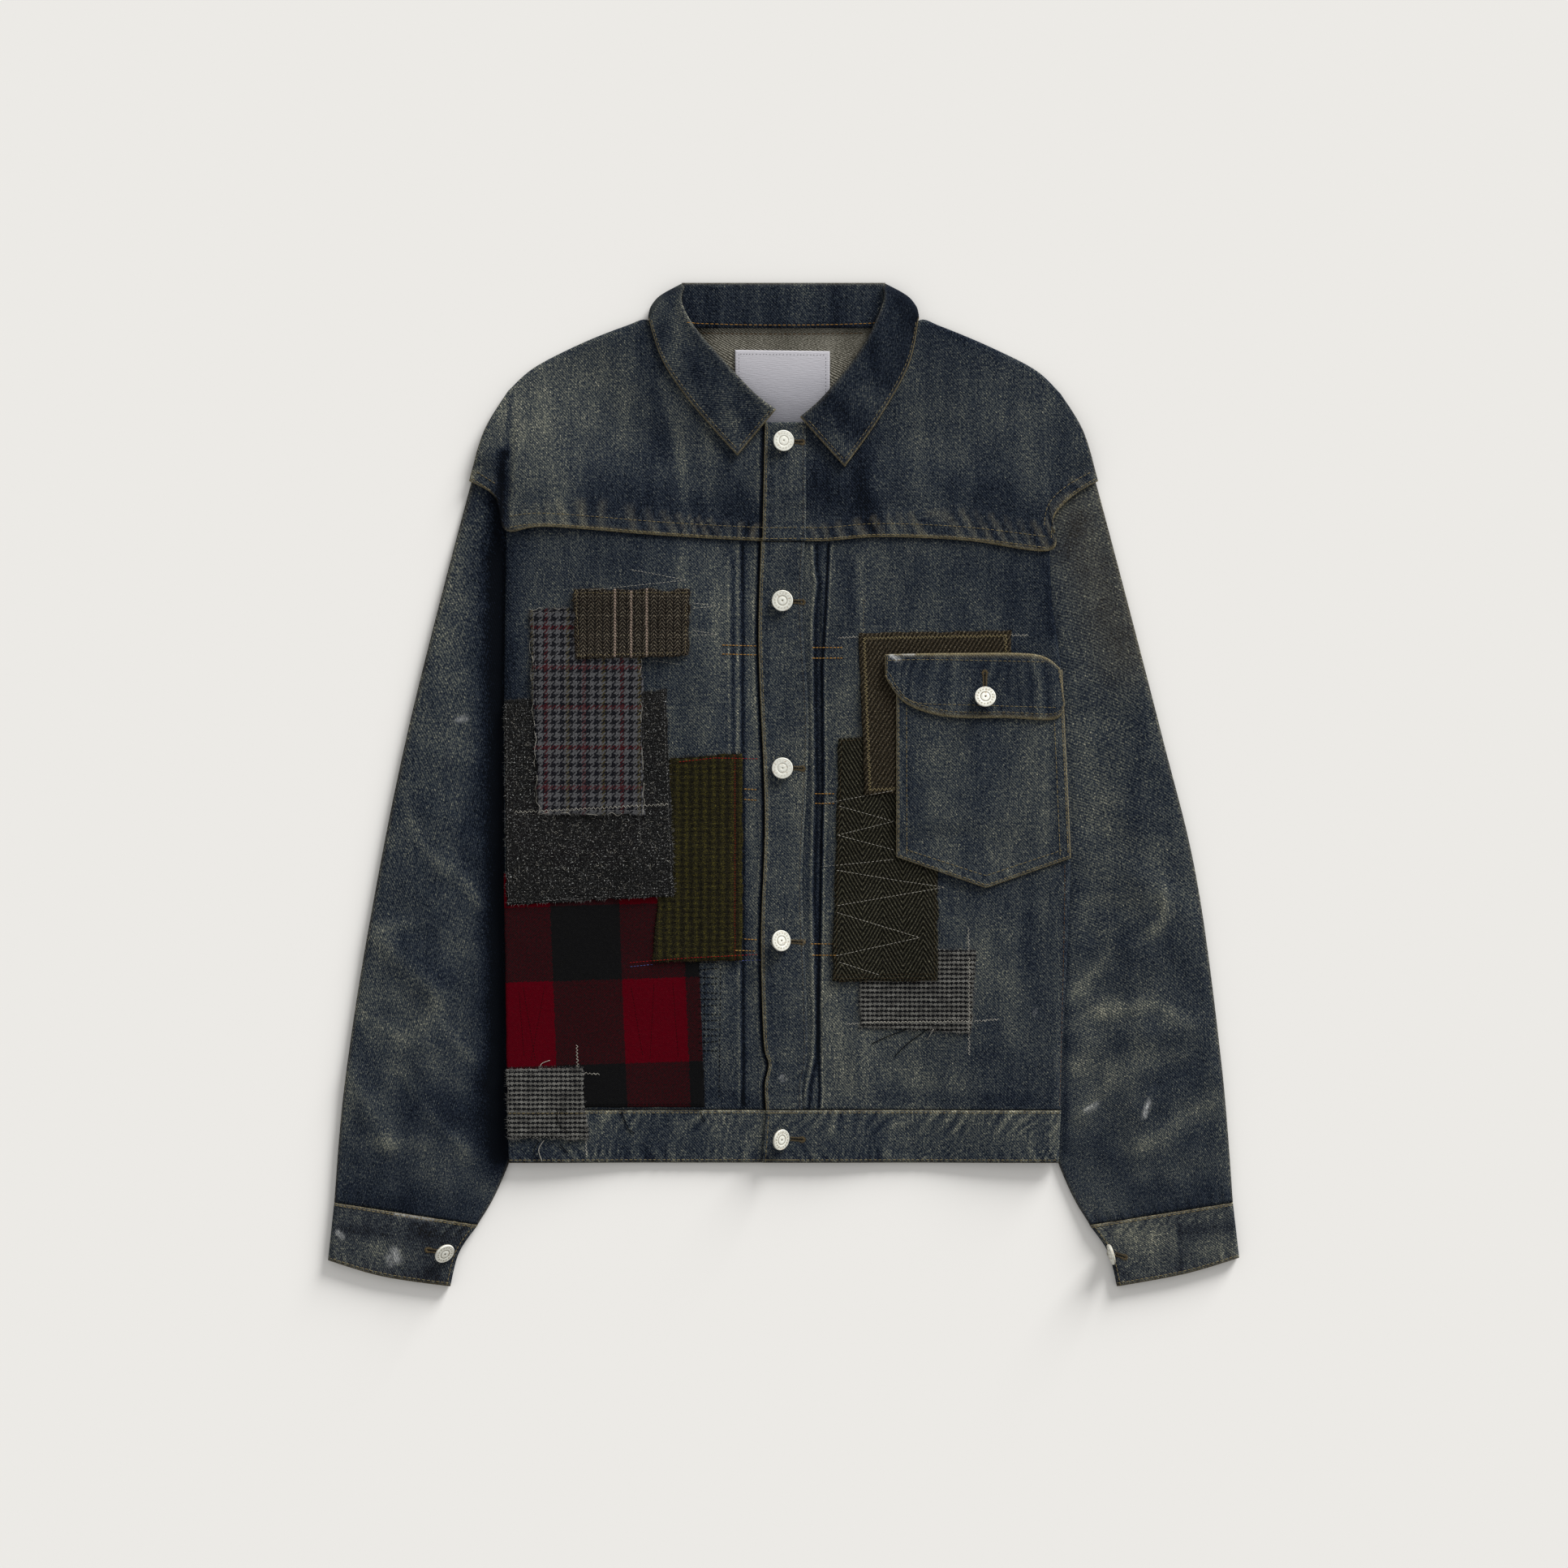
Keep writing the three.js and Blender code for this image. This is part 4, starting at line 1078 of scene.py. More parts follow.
def front_left_wear_and_shade(at):
    fade_and_shade = strokes(at.x, at.y, FRONT_MARKS_LEFT) + drift(at, 54) - yoke_shadow(at) - 0.06
    return fade_and_shade, 0, strokes(at.x, at.y, WHITE_FLECKS)


def pleat_relief(at):
    lift = pleat_height(at.x, at.y) * smooth(behind_fold(at.x), -PLEAT_STEP, 0)
    tuck = strokes(at.x, at.y, [(TUCK_EDGE, 2.0, 0.7)])
    side_roll = rounded(np.where(at.x < 0, at.left, at.right), 6, 1.8)
    return lift + tuck - side_roll


def band_puckers(at, seed):
    """Puckers from a waistband's two rows of sewing."""
    return roping(at.left, at.high, 22, seed, 12) + roping(at.left, at.low, 14, seed + 1, 10)


def band_wear(seed, fade_and_shade=0.0):
    def wear(at):
        tone = fade_and_shade + 0.42 * band_puckers(at, seed) + drift(at, seed + 2) - 0.12 * (1 - smooth(at.low, 6, 26))
        return tone + rim(at.high, 0.2, 2.0), rim(at.edge("low high"), 0.35, 1.0), 0
    return wear


def band_relief(seed):
    return lambda at: 0.4 * band_puckers(at, seed)


def placket_wear(at):
    tone = 0.08 + drift(at, 70) + 0.12 * roping(at.low, np.minimum(at.left, at.right), 9, 71)
    tone = tone + rim(at.left, 0.1, 2.5) - 0.25 * np.exp(-(((at.left - 6) / 2.5) ** 2))
    return tone, rim(at.left, 0.8, 0.9), strokes(at.x, at.y, SPLASHES)


def placket_relief(at):
    return 0.25 * roping(at.low, np.minimum(at.left, at.right), 9, 71)


POCKET_MARKS = [
    ([(1150, 930), (1230, 1040)], 26, 0.16), ([(1120, 900), (1118, 1040)], 5, -0.2),
    ([(1180, 980), (1200, 1060)], 12, -0.12), ([(1280, 930), (1290, 1040)], 8, 0.16),
]


def pocket_wear(at):
    edge = at.edge("left right low")
    tone = strokes(at.x, at.y, POCKET_MARKS) + drift(at, 80) + 0.18 * roping(at.left + at.low, edge, 11, 81)
    return tone, rim(edge, 0.8, 1.0), 0


def pocket_relief(at):
    edge = at.edge("left right low")
    return 0.22 * roping(at.left + at.low, edge, 11, 81) + 0.35 * (1 - smooth(edge, 8, 11))


def flap_wear(at):
    edge = at.edge()
    tone = drift(at, 84) - 0.24 + 0.3 * roping(at.left, edge, 14, 85)
    return tone, rim(edge, 0.85, 1.0), strokes(at.x, at.y, SPLASHES)


def flap_relief(at):
    return 0.3 * roping(at.left, at.edge(), 12, 85)


denim_piece(
    "front_right", FRONT_RIGHT, front_under, DENIM, front_right_wear_and_shade, pleat_relief,
    cell=2.8, tall=1.5, close=(160, 234))
denim_piece(
    "front_left", FRONT_LEFT, front_under, DENIM, front_left_wear_and_shade, pleat_relief,
    cell=2.8, tall=1.5, close=(0, 54))
denim_piece("yoke_right", YOKE_RIGHT, yoke_right_under, DENIM, yoke_right_wear_and_shade, yoke_relief, cell=2.6)
denim_piece("yoke_left", YOKE_LEFT, yoke_under, DENIM, yoke_left_wear, yoke_relief, cell=2.6)
denim_piece("waistband_right", WAIST_RIGHT, front_under, BAND, band_wear(60), band_relief(60))
denim_piece("waistband_left", WAIST_LEFT, waist_left_under, BAND, band_wear(62, 0.1), band_relief(62))
denim_piece("placket", PLACKET, placket_under, BAND, placket_wear, placket_relief, cell=2.6)
denim_piece(
    "placket_yoke", quad(*PLACKET_TOP), yoke_placket_under, DENIM, placket_wear, placket_relief, cell=2.6)


def back_piece():
    """The back: its worn inside shows in the neck, and its outside lies on the table."""
    bm, u, v = grid(spaced(BACK.wide, 6), spaced(BACK.long, 6))
    at = Cloth(BACK, u, v)
    places = np.stack([at.x, at.y, back_top(at.x, at.y)], -1)
    wear = np.zeros_like(places)
    wear[:, 0] = 0.2 * ripple(at.x / 9, at.y / 40, 90) - 0.25 * smooth(np.abs(at.x), 40, 75)
    piece = finish_cloth("back", bm, places, at.cut(), wear, DENIM, [DENIM_BACK, DENIM_FACE])
    declare(piece, "back", BACK, ["sleeve_right", "sleeve_left"])


back_piece()
denim_piece("waistband_back", WAIST_BACK, back_under, DENIM, band_wear(64), cell=4)


# Sleeves and cuffs

def tube_piece(name, plan, top, wall, wear_of, relief_of, rows, ring, end=1.0):
    """A flattened tube, round at its sides and flat where it lies. It stops at a share of its length."""
    side = math.pi / 2
    under = np.linspace(-2 * side, -side, ring // 8 + 1)
    upper = np.linspace(-side, side, ring * 3 // 4 + 1)
    bm, turn, v = grid(np.concatenate([under, upper[1:-1], under + 3 * side]), np.linspace(0, end, rows + 1))
    s, c = np.sin(turn), np.cos(turn)
    at = Cloth(plan, 0.5 + 0.5 * s, v)
    high = top(at.x, at.y) + np.where(c > 0, relief_of(at), 0)
    bulge = np.clip(np.abs(c) * 2.2, 0, 1)
    full = np.sqrt(1 - (1 - bulge) ** 2)
    z = high / 2 + np.where(c > 0, high / 2, -high / 2) * full
    wear = np.stack(np.broadcast_arrays(*wear_of(at)), -1)
    places = np.stack([at.x, at.y, z], -1)
    piece = finish_cloth(name, bm, places, at.cut(), wear, wall - THIN_FOLD, [DENIM_FACE], close=True)
    declare(piece, name, plan, ["floor"], tube=True)


def sleeve_wear_and_shade(marks, seed, tanned=()):
    def wear(at):
        tone = strokes(at.x, at.y, marks) + 0.7 * drift(at, seed) + 0.1 * ripple(at.x / 16, at.y / 12, seed + 3)
        tone = tone - 0.3 * (1 - smooth(at.low, 2, 12))
        tan = rim(at.edge("left right"), 0.15, 2.0) + strokes(at.x, at.y, tanned)
        return tone, tan, strokes(at.x, at.y, WHITE_FLECKS)
    return wear


def sleeve_relief(marks, seed):
    """Main creases raised where the cloth is rubbed pale in a narrow line, with soft dents between them."""
    creases = [(line, half, amount) for line, half, amount in marks if amount > 0.2 and half < 10]

    def relief(at):
        folds = strokes(at.x, at.y, creases)
        dents = 0.5 * ripple(at.x / 30, at.y / 26, seed) + 0.25 * ripple(at.x / 13, at.y / 11, seed + 1)
        gathers = 0.3 * np.sin(at.left / 2.4) * (1 - smooth(at.low, 3, 16))
        calm = smooth(at.edge("left right"), 0, 26)
        return (1.5 * folds + dents) * calm + gathers
    return relief


SLEEVE_CELLS = {"rows": 190, "ring": 128, "end": 0.985}
CUFF_CELLS = {"rows": 30, "ring": 96}
tube_piece(
    "sleeve_right", SLEEVE_RIGHT, sleeve_top, DENIM, sleeve_wear_and_shade(SLEEVE_MARKS_RIGHT, 100),
    sleeve_relief(SLEEVE_MARKS_RIGHT, 102), **SLEEVE_CELLS)
tube_piece(
    "sleeve_left", SLEEVE_LEFT, sleeve_top, DENIM, sleeve_wear_and_shade(SLEEVE_MARKS_LEFT, 104, SLEEVE_TAN_LEFT),
    sleeve_relief(SLEEVE_MARKS_LEFT, 106), **SLEEVE_CELLS)


def cuff_top(x, y):
    return np.full_like(x, CUFF_HEIGHT)


def cuff_puckers(at, seed):
    return roping(at.left, at.high, 14, seed, 9) + roping(at.left, at.low, 10, seed + 1, 9)


def cuff_wear(seed, pale, marks):
    def wear(at):
        tone = pale + 0.25 * cuff_puckers(at, seed) + 1.2 * drift(at, seed + 2) + strokes(at.x, at.y, marks)
        return tone, 0.03 + rim(at.edge("low high"), 0.5, 1.2), strokes(at.x, at.y, SPLASHES)
    return wear


def cuff_relief(seed):
    return lambda at: 0.25 * cuff_puckers(at, seed)


CUFF_MARKS_LEFT = [
    ([(1380, 1520), (1440, 1528)], 12, 0.3), ([(1455, 1518), (1520, 1510)], 5, -0.4),
    ([(1452, 1508), (1455, 1565)], 1.6, -0.6),
    ([(1366, 1550), (1380, 1572)], 6, -0.5), ([(1470, 1545), (1510, 1540)], 9, 0.16),
]
CUFF_MARKS_RIGHT = [
    ([(425, 1514), (475, 1520)], 5, -0.5), ([(517, 1516), (548, 1524)], 6, -0.4), ([(460, 1538), (502, 1552)], 10, 0.3),
    ([(411, 1526), (422, 1545)], 6, 0.35), ([(530, 1570), (550, 1578)], 6, -0.35),
]
tube_piece(
    "cuff_right", CUFF_RIGHT, cuff_top, BAND, cuff_wear(110, -0.16, CUFF_MARKS_RIGHT), cuff_relief(110), **CUFF_CELLS)
tube_piece(
    "cuff_left", CUFF_LEFT, cuff_top, BAND, cuff_wear(114, 0.06, CUFF_MARKS_LEFT), cuff_relief(114), **CUFF_CELLS)


# Collar

BACK_FOLD_R = (BAND + GAP + DENIM + GAP + BAND) / 2
SIDE_FOLD_R = BACK_FOLD_R + LAP / 2
STAND_HALF = 83
FOLD_HALF = 81.5
FALL_HALF = 107
NECK_SEAM = 365.5
FALL_WIDEST = 374
FALL_END = 352


def collar_back():
    """Stand, fold and fall of the collar's back in one sheet, from the neck seam round under the back."""
    middle = COLLAR_TOP - BACK_FOLD_R
    turn = np.linspace(0, math.pi, 15)[1:-1]
    stand = [(y, 2 * BACK_FOLD_R, STAND_HALF) for y in np.linspace(NECK_SEAM, middle, 14)]
    fold = [(middle + BACK_FOLD_R * math.sin(a), BACK_FOLD_R * (1 + math.cos(a)), FOLD_HALF) for a in turn]
    fall_rows, fall_halves = [FALL_END, FALL_WIDEST, middle], [92, FALL_HALF, FOLD_HALF]
    fall = [(y, 0.02, np.interp(y, fall_rows, fall_halves)) for y in np.linspace(middle, FALL_END, 18)]
    path = np.array(stand + fold + fall)
    reach = reach_along(path[:, :2])
    bm, u, row = grid(np.linspace(-1, 1, 57), np.arange(len(path), dtype=float))
    y, z, half = path[row.astype(int)].T
    along = reach[row.astype(int)]
    x = u * half
    inner = row < len(stand)
    z = np.where(inner, np.maximum(z, back_top(x, y) + GAP + BAND), z)
    z = z + np.where(inner, 0.35 * ripple(x / 12, y / 60, 120), 0)
    places = np.stack([x, y, z], -1)
    wear = np.zeros_like(places)
    streak = ripple(x / 6, y / 90, 121) + 0.6 * ripple(x / 2.6, y / 50, 122)
    wear[:, 0] = 0.26 * streak - 0.38 - 0.2 * (1 - smooth(along, 0, 9)) + 0.12 * smooth(along, 16, 30)
    wear[:, 1] = rim(np.abs(along - reach[len(stand)] - 3), 0.25, 2.0)
    cut = np.stack([x + 100, along], -1) * MM
    piece = finish_cloth("collar_back", bm, places, cut, wear, BAND - THIN_FOLD, [DENIM_FACE])
    long = float(reach[-1])
    plan = quad((-STAND_HALF, 0), (STAND_HALF, 0), (FALL_HALF, long), (-FALL_HALF, long))
    declare(piece, "collar", plan, ["back"])


def collar_leaf(name, plan, outer, inner, marks, seed, rests_on, shade):
    """A front leaf of the collar, rolled along the neck and turned round the shoulder to the back."""
    us = spaced(plan.wide, 2.4)
    wrap = np.linspace(0, 1, 9)[1:]
    vs = np.concatenate([spaced(plan.long, 2.4), 1 + wrap])
    bm, u, v = grid(us, vs)
    on_leaf = np.minimum(v, 1)
    at = Cloth(plan, u, on_leaf)
    edge = at.edge(outer + " low")
    roll = getattr(at, inner)
    z = leaf_under(at.x, at.y) + BAND + still(at) + 1.3 * np.exp(-((roll / 7) ** 2))
    z = z + 0.22 * roping(at.low, edge, 8, seed) + 0.5 * ripple(at.x / 26, at.y / 20, seed + 5)
    z = z - rounded(edge, 1.8, 0.9) - rounded(roll, 3.0, 1.4)
    turn = np.maximum(v - 1, 0) * math.pi
    full = np.sqrt(np.clip(getattr(at, outer) / 9, 0, 1))
    a, b = np.array(plan.high[0][0]), np.array(plan.high[0][-1])
    away = np.array([-(b - a)[1], (b - a)[0]]) / np.hypot(*(b - a))
    radius = z / 2
    z = np.where(v > 1, radius * (1 + np.cos(turn)) + 0.02, z)
    x = at.x + np.where(v > 1, full * SIDE_FOLD_R * np.sin(turn) * away[0], 0)
    y = at.y + np.where(v > 1, full * SIDE_FOLD_R * np.sin(turn) * away[1], 0)
    tone = strokes(x, y, marks) + drift(at, seed + 1) + 0.15 * roping(at.low, edge, 8, seed) + shade
    tone = tone + rim(roll, 0.2, 4.0)
    wear = np.stack([tone, rim(edge, 0.85, 1.0) + rim(roll, 0.12, 2.0), np.zeros_like(tone)], -1)
    cut = np.stack([u * plan.wide, v * plan.long], -1) * MM
    piece = finish_cloth(name, bm, np.stack([x, y, z], -1), cut, wear, BAND - THIN_FOLD, [DENIM_FACE])
    declare(piece, None, plan, [rests_on], turned=math.pi * SIDE_FOLD_R)


LEAF_MARKS_RIGHT = [
    ([(838, 380), (830, 440)], 8, 0.22), ([(870, 480), (905, 520)], 7, 0.22), ([(850, 440), (880, 500)], 8, -0.35),
    ([(905, 500), (930, 530)], 7, -0.25), ([(815, 400), (812, 420)], 6, -0.3),
]
LEAF_MARKS_LEFT = [
    ([(1066, 478), (1075, 500)], 5, 0.15), ([(1095, 390), (1100, 440)], 8, 0.1), ([(1020, 490), (1060, 530)], 10, -0.4),
    ([(1075, 430), (1090, 470)], 8, -0.3), ([(1030, 540), (1045, 560)], 5, 0.3),
]
collar_back()
collar_leaf("collar_leaf_right", LEAF_RIGHT, "left", "right", LEAF_MARKS_RIGHT, 130, "yoke_right", -0.1)
collar_leaf("collar_leaf_left", LEAF_LEFT, "right", "left", LEAF_MARKS_LEFT, 140, "yoke_left", -0.44)


# Patches, pocket and label

def patch(name, slot, corners, below, base=on_front, ragged=0.7, cell=3.0, seed=200):
    """A wool patch with a slightly uneven raw edge. Returns its area and top for what lies on it."""
    under = laid_on(base, below)
    plan = quad(*corners)
    bm, u, v = grid(spaced(plan.wide, cell), spaced(plan.long, cell))
    at = Cloth(plan, u, v)
    pull = np.exp(-((at.edge() / 4) ** 2)) * ragged
    x = at.x + pull * (ripple(at.y / 7, at.x / 40, seed) + 0.6 * ripple(at.y / 2.4, at.x / 40, seed + 1))
    y = at.y + pull * (ripple(at.x / 7, at.y / 40, seed + 2) + 0.6 * ripple(at.x / 2.4, at.y / 40, seed + 3))
    z = under(at.x, at.y) + WOOL + 0.22 * ripple(at.x / 17, at.y / 19, seed + 4) - rounded(at.edge(), 2.4, 0.8)
    places = np.stack([x, y, z], -1)
    bare = np.zeros_like(places)
    piece = finish_cloth("patch_" + name, bm, places, at.cut(), bare, WOOL - THIN, [WOOLS[slot]])
    declare(piece, "patch_" + name, plan, ["front_right" if corners[0][0] < 0 else "front_left"])
    PATCH_PLANS[name] = plan
    return list(corners), lambda px, py: under(px, py) + WOOL


PATCH_PLANS = {}
red_plaid = patch(
    "red_plaid", "red_plaid", [(-221, -258.5), (-63, -258.5), (-70, -87), (-224, -71)], [], ragged=0.3, seed=200)
olive = patch(
    "olive_check", "olive_check", [(-105, -142), (-33, -141), (-33, 25), (-91, 21)], [red_plaid], seed=210)
charcoal = patch(
    "charcoal", "charcoal", [(-222, -97), (-87, -89), (-94, 76), (-224, 67)], [red_plaid, olive], ragged=1.0, seed=220)
houndstooth = patch(
    "houndstooth", "houndstooth", [(-196, -24), (-112, -24), (-114, 144), (-204, 140)], [charcoal],
    ragged=1.4, seed=230)
patch("brown_stripe", "brown_stripe", [(-166, 100), (-76, 103), (-75, 156), (-169, 156)], [houndstooth],
      ragged=1.0, seed=240)


def waist_step(x, y):
    return on_front(x, y) + (BAND - DENIM) * (1 - smooth(y, -250, -228))


patch("grey_check_right", "grey_check", [(-221, -284), (-156, -284), (-161, -226), (-222, -228)], [red_plaid],
      base=waist_step, ragged=1.0, seed=250)
grey_check = patch(
    "grey_check_left", "grey_check", [(61, -195), (150, -199), (154, -132), (61, -132)], [], ragged=1.0, seed=260)
herringbone = patch(
    "herringbone", "herringbone", [(39, -158), (123, -157), (124, 40), (44, 37)], [grey_check], seed=270)
brown_twill = patch(
    "brown_twill", "brown_twill", [(65, -9), (182, -2), (182, 123), (60, 121)], [herringbone], seed=280)

pocket_under = laid_on(on_front, [grey_check, herringbone, brown_twill])
denim_piece(
    "pocket", POCKET, pocket_under, DENIM, pocket_wear, pocket_relief, cell=2.6, rests_on=("front_left",))
pocket_lay = (POCKET_AREA, lambda x, y: pocket_under(x, y) + DENIM)
flap_under = laid_on(on_front, [brown_twill, pocket_lay])
denim_piece("pocket_flap", FLAP, flap_under, BAND, flap_wear, flap_relief, cell=2.4, rests_on=("pocket",))


def neck_label():
    """The label, left bare, its lower end slipping under the fronts."""
    plan = quad(*LABEL_AREA)
    bm, u, v = grid(spaced(plan.wide, 2.5), spaced(plan.long, 2.5))
    at = Cloth(plan, u, v)
    z = back_top(at.x, at.y) + GAP + LABEL + 0.5 * np.sin(at.u * math.pi) - rounded(at.edge(), 1.2, 0.4)
    places = np.stack([at.x, at.y, z], -1)
    bare = np.zeros_like(places)
    piece = finish_cloth("neck_label", bm, places, at.cut(), bare, LABEL - THIN, [LABEL_SATIN])
    declare(piece, "neck_label", plan, ["back"])
    return plan


LABEL_PLAN = neck_label()


# Sewing

def surface_below():
    """All cloth as it lies, to set sewing on, and the piece that each face is of."""
    points, faces, owners = [], [], []
    for name, (piece, _, _, _) in SHEETS.items():
        start = len(points)
        points += [vertex.co for vertex in piece.data.vertices]
        faces += [[start + i for i in face.vertices] for face in piece.data.polygons]
        owners += [name] * len(piece.data.polygons)
    return BVHTree.FromPolygons(points, faces), owners


SURFACE, OWNERS = surface_below()


ABOVE_ALL = 100 * MM
BESIDE_CLOTH = 2 * MM


def settle(x, y):
    """The point on the topmost cloth at a place on the table, in metres, and the piece it is on."""
    hit, _, face, _ = SURFACE.ray_cast(Vector((x * MM, y * MM, ABOVE_ALL)), Vector((0, 0, -1)))
    return (hit, OWNERS[face]) if hit is not None else (Vector((x * MM, y * MM, BESIDE_CLOTH)), None)


class Spool:
    """Every stitch and loose end of one thread, joined in one mesh."""

    def __init__(self, thread):
        self.thread = thread
        self.points, self.faces, self.count = [], [], 0
        bm = bmesh.new()
        bmesh.ops.create_uvsphere(bm, u_segments=5, v_segments=4, radius=1)
        self.bead = np.array([vertex.co for vertex in bm.verts])[:, [2, 0, 1]]
        self.bead_faces = [[vertex.index for vertex in face.verts] for face in bm.faces]
        bm.free()

    def add(self, points, faces):
        self.faces += [[self.count + i for i in face] for face in faces]
        self.points.append(points)
        self.count += len(points)

    def stitch(self, a, b, radius, on=None):
        """One stitch between two places, its ends sunk in the cloth, left out where that piece is covered."""
        (start, first_on), (end, last_on) = settle(*a), settle(*b)
        if on and (first_on != on or last_on != on):
            return
        run = end - start
        side = Vector((-run.y, run.x, 0)).normalized()
        up = run.cross(side).normalized()
        up = up if up.z > 0 else -up
        middle = (start + end) / 2 + up * radius * MM * 0.35
        frame_of = np.array([run * 0.54, side * radius * MM, up * radius * MM * 0.8])
        self.add(self.bead @ frame_of + np.array(middle), self.bead_faces)

    def row(self, places, length=2.9, gap=0.9, radius=0.3, wander=0.0, seed=1, on=None):
        """Running stitches along a line of places."""
        p = curve(places)[0] if 2 < len(places) < 20 else np.array(places, float)
        reach = reach_along(p)
        rng = np.random.default_rng(seed)
        at = 0.5
        while at + length * 0.6 < reach[-1]:
            ends = np.array([at, min(at + length, reach[-1])])
            xs, ys = np.interp(ends, reach, p[:, 0]), np.interp(ends, reach, p[:, 1])
            stray = rng.normal(0, wander, 4)
            self.stitch((xs[0] + stray[0], ys[0] + stray[1]), (xs[1] + stray[2], ys[1] + stray[3]), radius, on)
            at += length + gap * (1 + 0.3 * rng.uniform(-1, 1))

    def lines(self, pixels, **how):
        """Straight lines of running stitches from pixel to pixel."""
        places = spots(pixels)
        for a, b in zip(places, places[1:]):
            self.row([a, b], **how)

    def zigzag(self, a, b, width=1.5, pitch=2.0, radius=0.2, seed=1, on=None):
        """A machine zigzag between two places."""
        a, b = np.array(a, float), np.array(b, float)
        long = np.hypot(*(b - a))
        along = (b - a) / long
        side = np.array([-along[1], along[0]])
        count = max(2, int(long / pitch * 2))
        rng = np.random.default_rng(seed)
        knots = []
        for i in range(count + 1):
            swing = width / 2 * (1 if i % 2 else -1) * rng.uniform(0.7, 1.2)
            knots.append(a + along * long * i / count + side * swing)
        for start, end in zip(knots, knots[1:]):
            self.stitch(start, end, radius, on)

    def loose(self, places, radius=0.2, lift=0.3, hidden_by=()):
        """A loose end that lies in a curve on the cloth."""
        p, reach = curve(places)
        steps = np.linspace(0, reach[-1], max(4, int(reach[-1] / 1.6)))
        xs, ys = np.interp(steps, reach, p[:, 0]), np.interp(steps, reach, p[:, 1])
        settled = [settle(x, y) for x, y in zip(xs, ys)]
        up = Vector((0, 0, (radius + lift) * MM))
        line = [point + up for point, owner in settled if owner not in hidden_by]
        if len(line) > 1:
            self.tube(line, radius)

    def hair(self, x, y, angle, length, on, radius=0.09, lift=0.8):
        """A fibre that stands out of the cloth and bends down."""
        foot, owner = settle(x, y)
        if owner != on:
            return
        lean = Vector((math.cos(angle), math.sin(angle), 0))
        tip = foot + lean * length * MM + Vector((0, 0, lift * 0.3 * MM))
        knee = foot + lean * length * 0.5 * MM + Vector((0, 0, lift * MM))
        self.tube([foot, knee, tip], radius, sides=3)

    def tube(self, line, radius, sides=4):
        rings, faces = [], []
        for i, point in enumerate(line):
            ahead = line[min(i + 1, len(line) - 1)] - line[max(i - 1, 0)]
            side = Vector((-ahead.y, ahead.x, 0)).normalized()
            up = side.cross(ahead).normalized()
            for k in range(sides):
                turn = 2 * math.pi * k / sides
                rings.append(point + (side * math.cos(turn) + up * math.sin(turn)) * radius * MM)
        for i in range(len(line) - 1):
            for k in range(sides):
                a, b = i * sides + k, i * sides + (k + 1) % sides
                faces.append([a, b, b + sides, a + sides])
        last = (len(line) - 1) * sides
        faces.append(list(range(sides))[::-1])
        faces.append(list(range(last, last + sides)))
        self.add(np.array(rings), faces)

    def make(self, name, slot):
        mesh = bpy.data.meshes.new(name)
        mesh.from_pydata(np.vstack(self.points).tolist(), [], self.faces)
        mesh.materials.append(THREADS[self.thread])
        mesh.shade_smooth()
        piece = placed(name, mesh)
        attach(piece, "root")


ALL_SIDES = ("left", "right", "low", "high")


def edge_rows(spool, name, inset, seeds, **how):
    """Running stitches inside a patch's edges, left out where it is covered."""
    for side, seed in seeds.items():
        spool.row(PATCH_PLANS[name].row(side, inset), on="patch_" + name, seed=seed, **how)


FINE = 0.24
SPOOLS = {name: Spool(name) for name in THREADS}
tan, gold, rust, pale = (SPOOLS[name] for name in ("tan", "gold", "rust", "pale"))
red, blue, black, grey = (SPOOLS[name] for name in ("red", "blue", "black", "grey"))
brown, khaki = SPOOLS["brown"], SPOOLS["khaki"]

# Construction seams
for edge, start, end in ((YOKE_EDGE_RIGHT, -220, UNDERLAP), (YOKE_EDGE_LEFT, OVERLAP, 212)):
    line = curve(edge)[0]
    line = line[(line[:, 0] > start) & (line[:, 0] < end)]
    tan.row(line + (0, 2.0))
    tan.row(line + (0, 10.8), radius=FINE)
ARMHOLE_ROWS = [
    [(-250, 245), (-241, 239.5), (-233, 234)],
    [(-246, 250.5), (-239, 246), (-231, 241)],
    [(250, 245), (231, 233), (217, 217), (214, 197)],
    [(246, 250), (226, 238.5), (212, 224), (208, 205)],
]
for points in ARMHOLE_ROWS:
    tan.row(curve(points)[0])
for plan in (PLACKET, quad(*PLACKET_TOP)):
    tan.row(plan.row("left", 2.2), radius=FINE)
    brown.row(plan.row("right", 2.2), length=1.8, gap=1.0, radius=0.2)
for plan in (WAIST_RIGHT, WAIST_LEFT, CUFF_RIGHT, CUFF_LEFT):
    tan.row(plan.row("high", 2.0))
    tan.row(plan.row("low", 2.4))
tan.row(WAIST_LEFT.row("left", 2.4))
tan.row(CUFF_RIGHT.row("right", 3.0))
tan.row(CUFF_LEFT.row("left", 3.0))
for plan, outer in ((LEAF_RIGHT, "left"), (LEAF_LEFT, "right")):
    tan.row(plan.row(outer, 3.4, 0.03, 0.98), radius=FINE)
    tan.row(plan.row("low", 3.4, 0.12, 0.95), radius=FINE)
gold.row([(-78, 369.5), (-40, 368.2), (0, 367.8), (40, 368.2), (76, 369.5)])
rust.row([(-66, 361.5), (-30, 361), (0, 360.8), (30, 361), (66, 361.5)])
for inset, short in ((2.2, 0.015), (8.6, 0.05)):
    tan.row(POCKET.row("left", inset, 0.03, 1.0), on="pocket")
    tan.row(POCKET.row("low", inset, short, 1 - short))
    tan.row(POCKET.row("right", inset, 0.03, 1.0), on="pocket")
for side in ("left", "low", "right"):
    tan.row(FLAP.row(side, 2.2), radius=FINE)
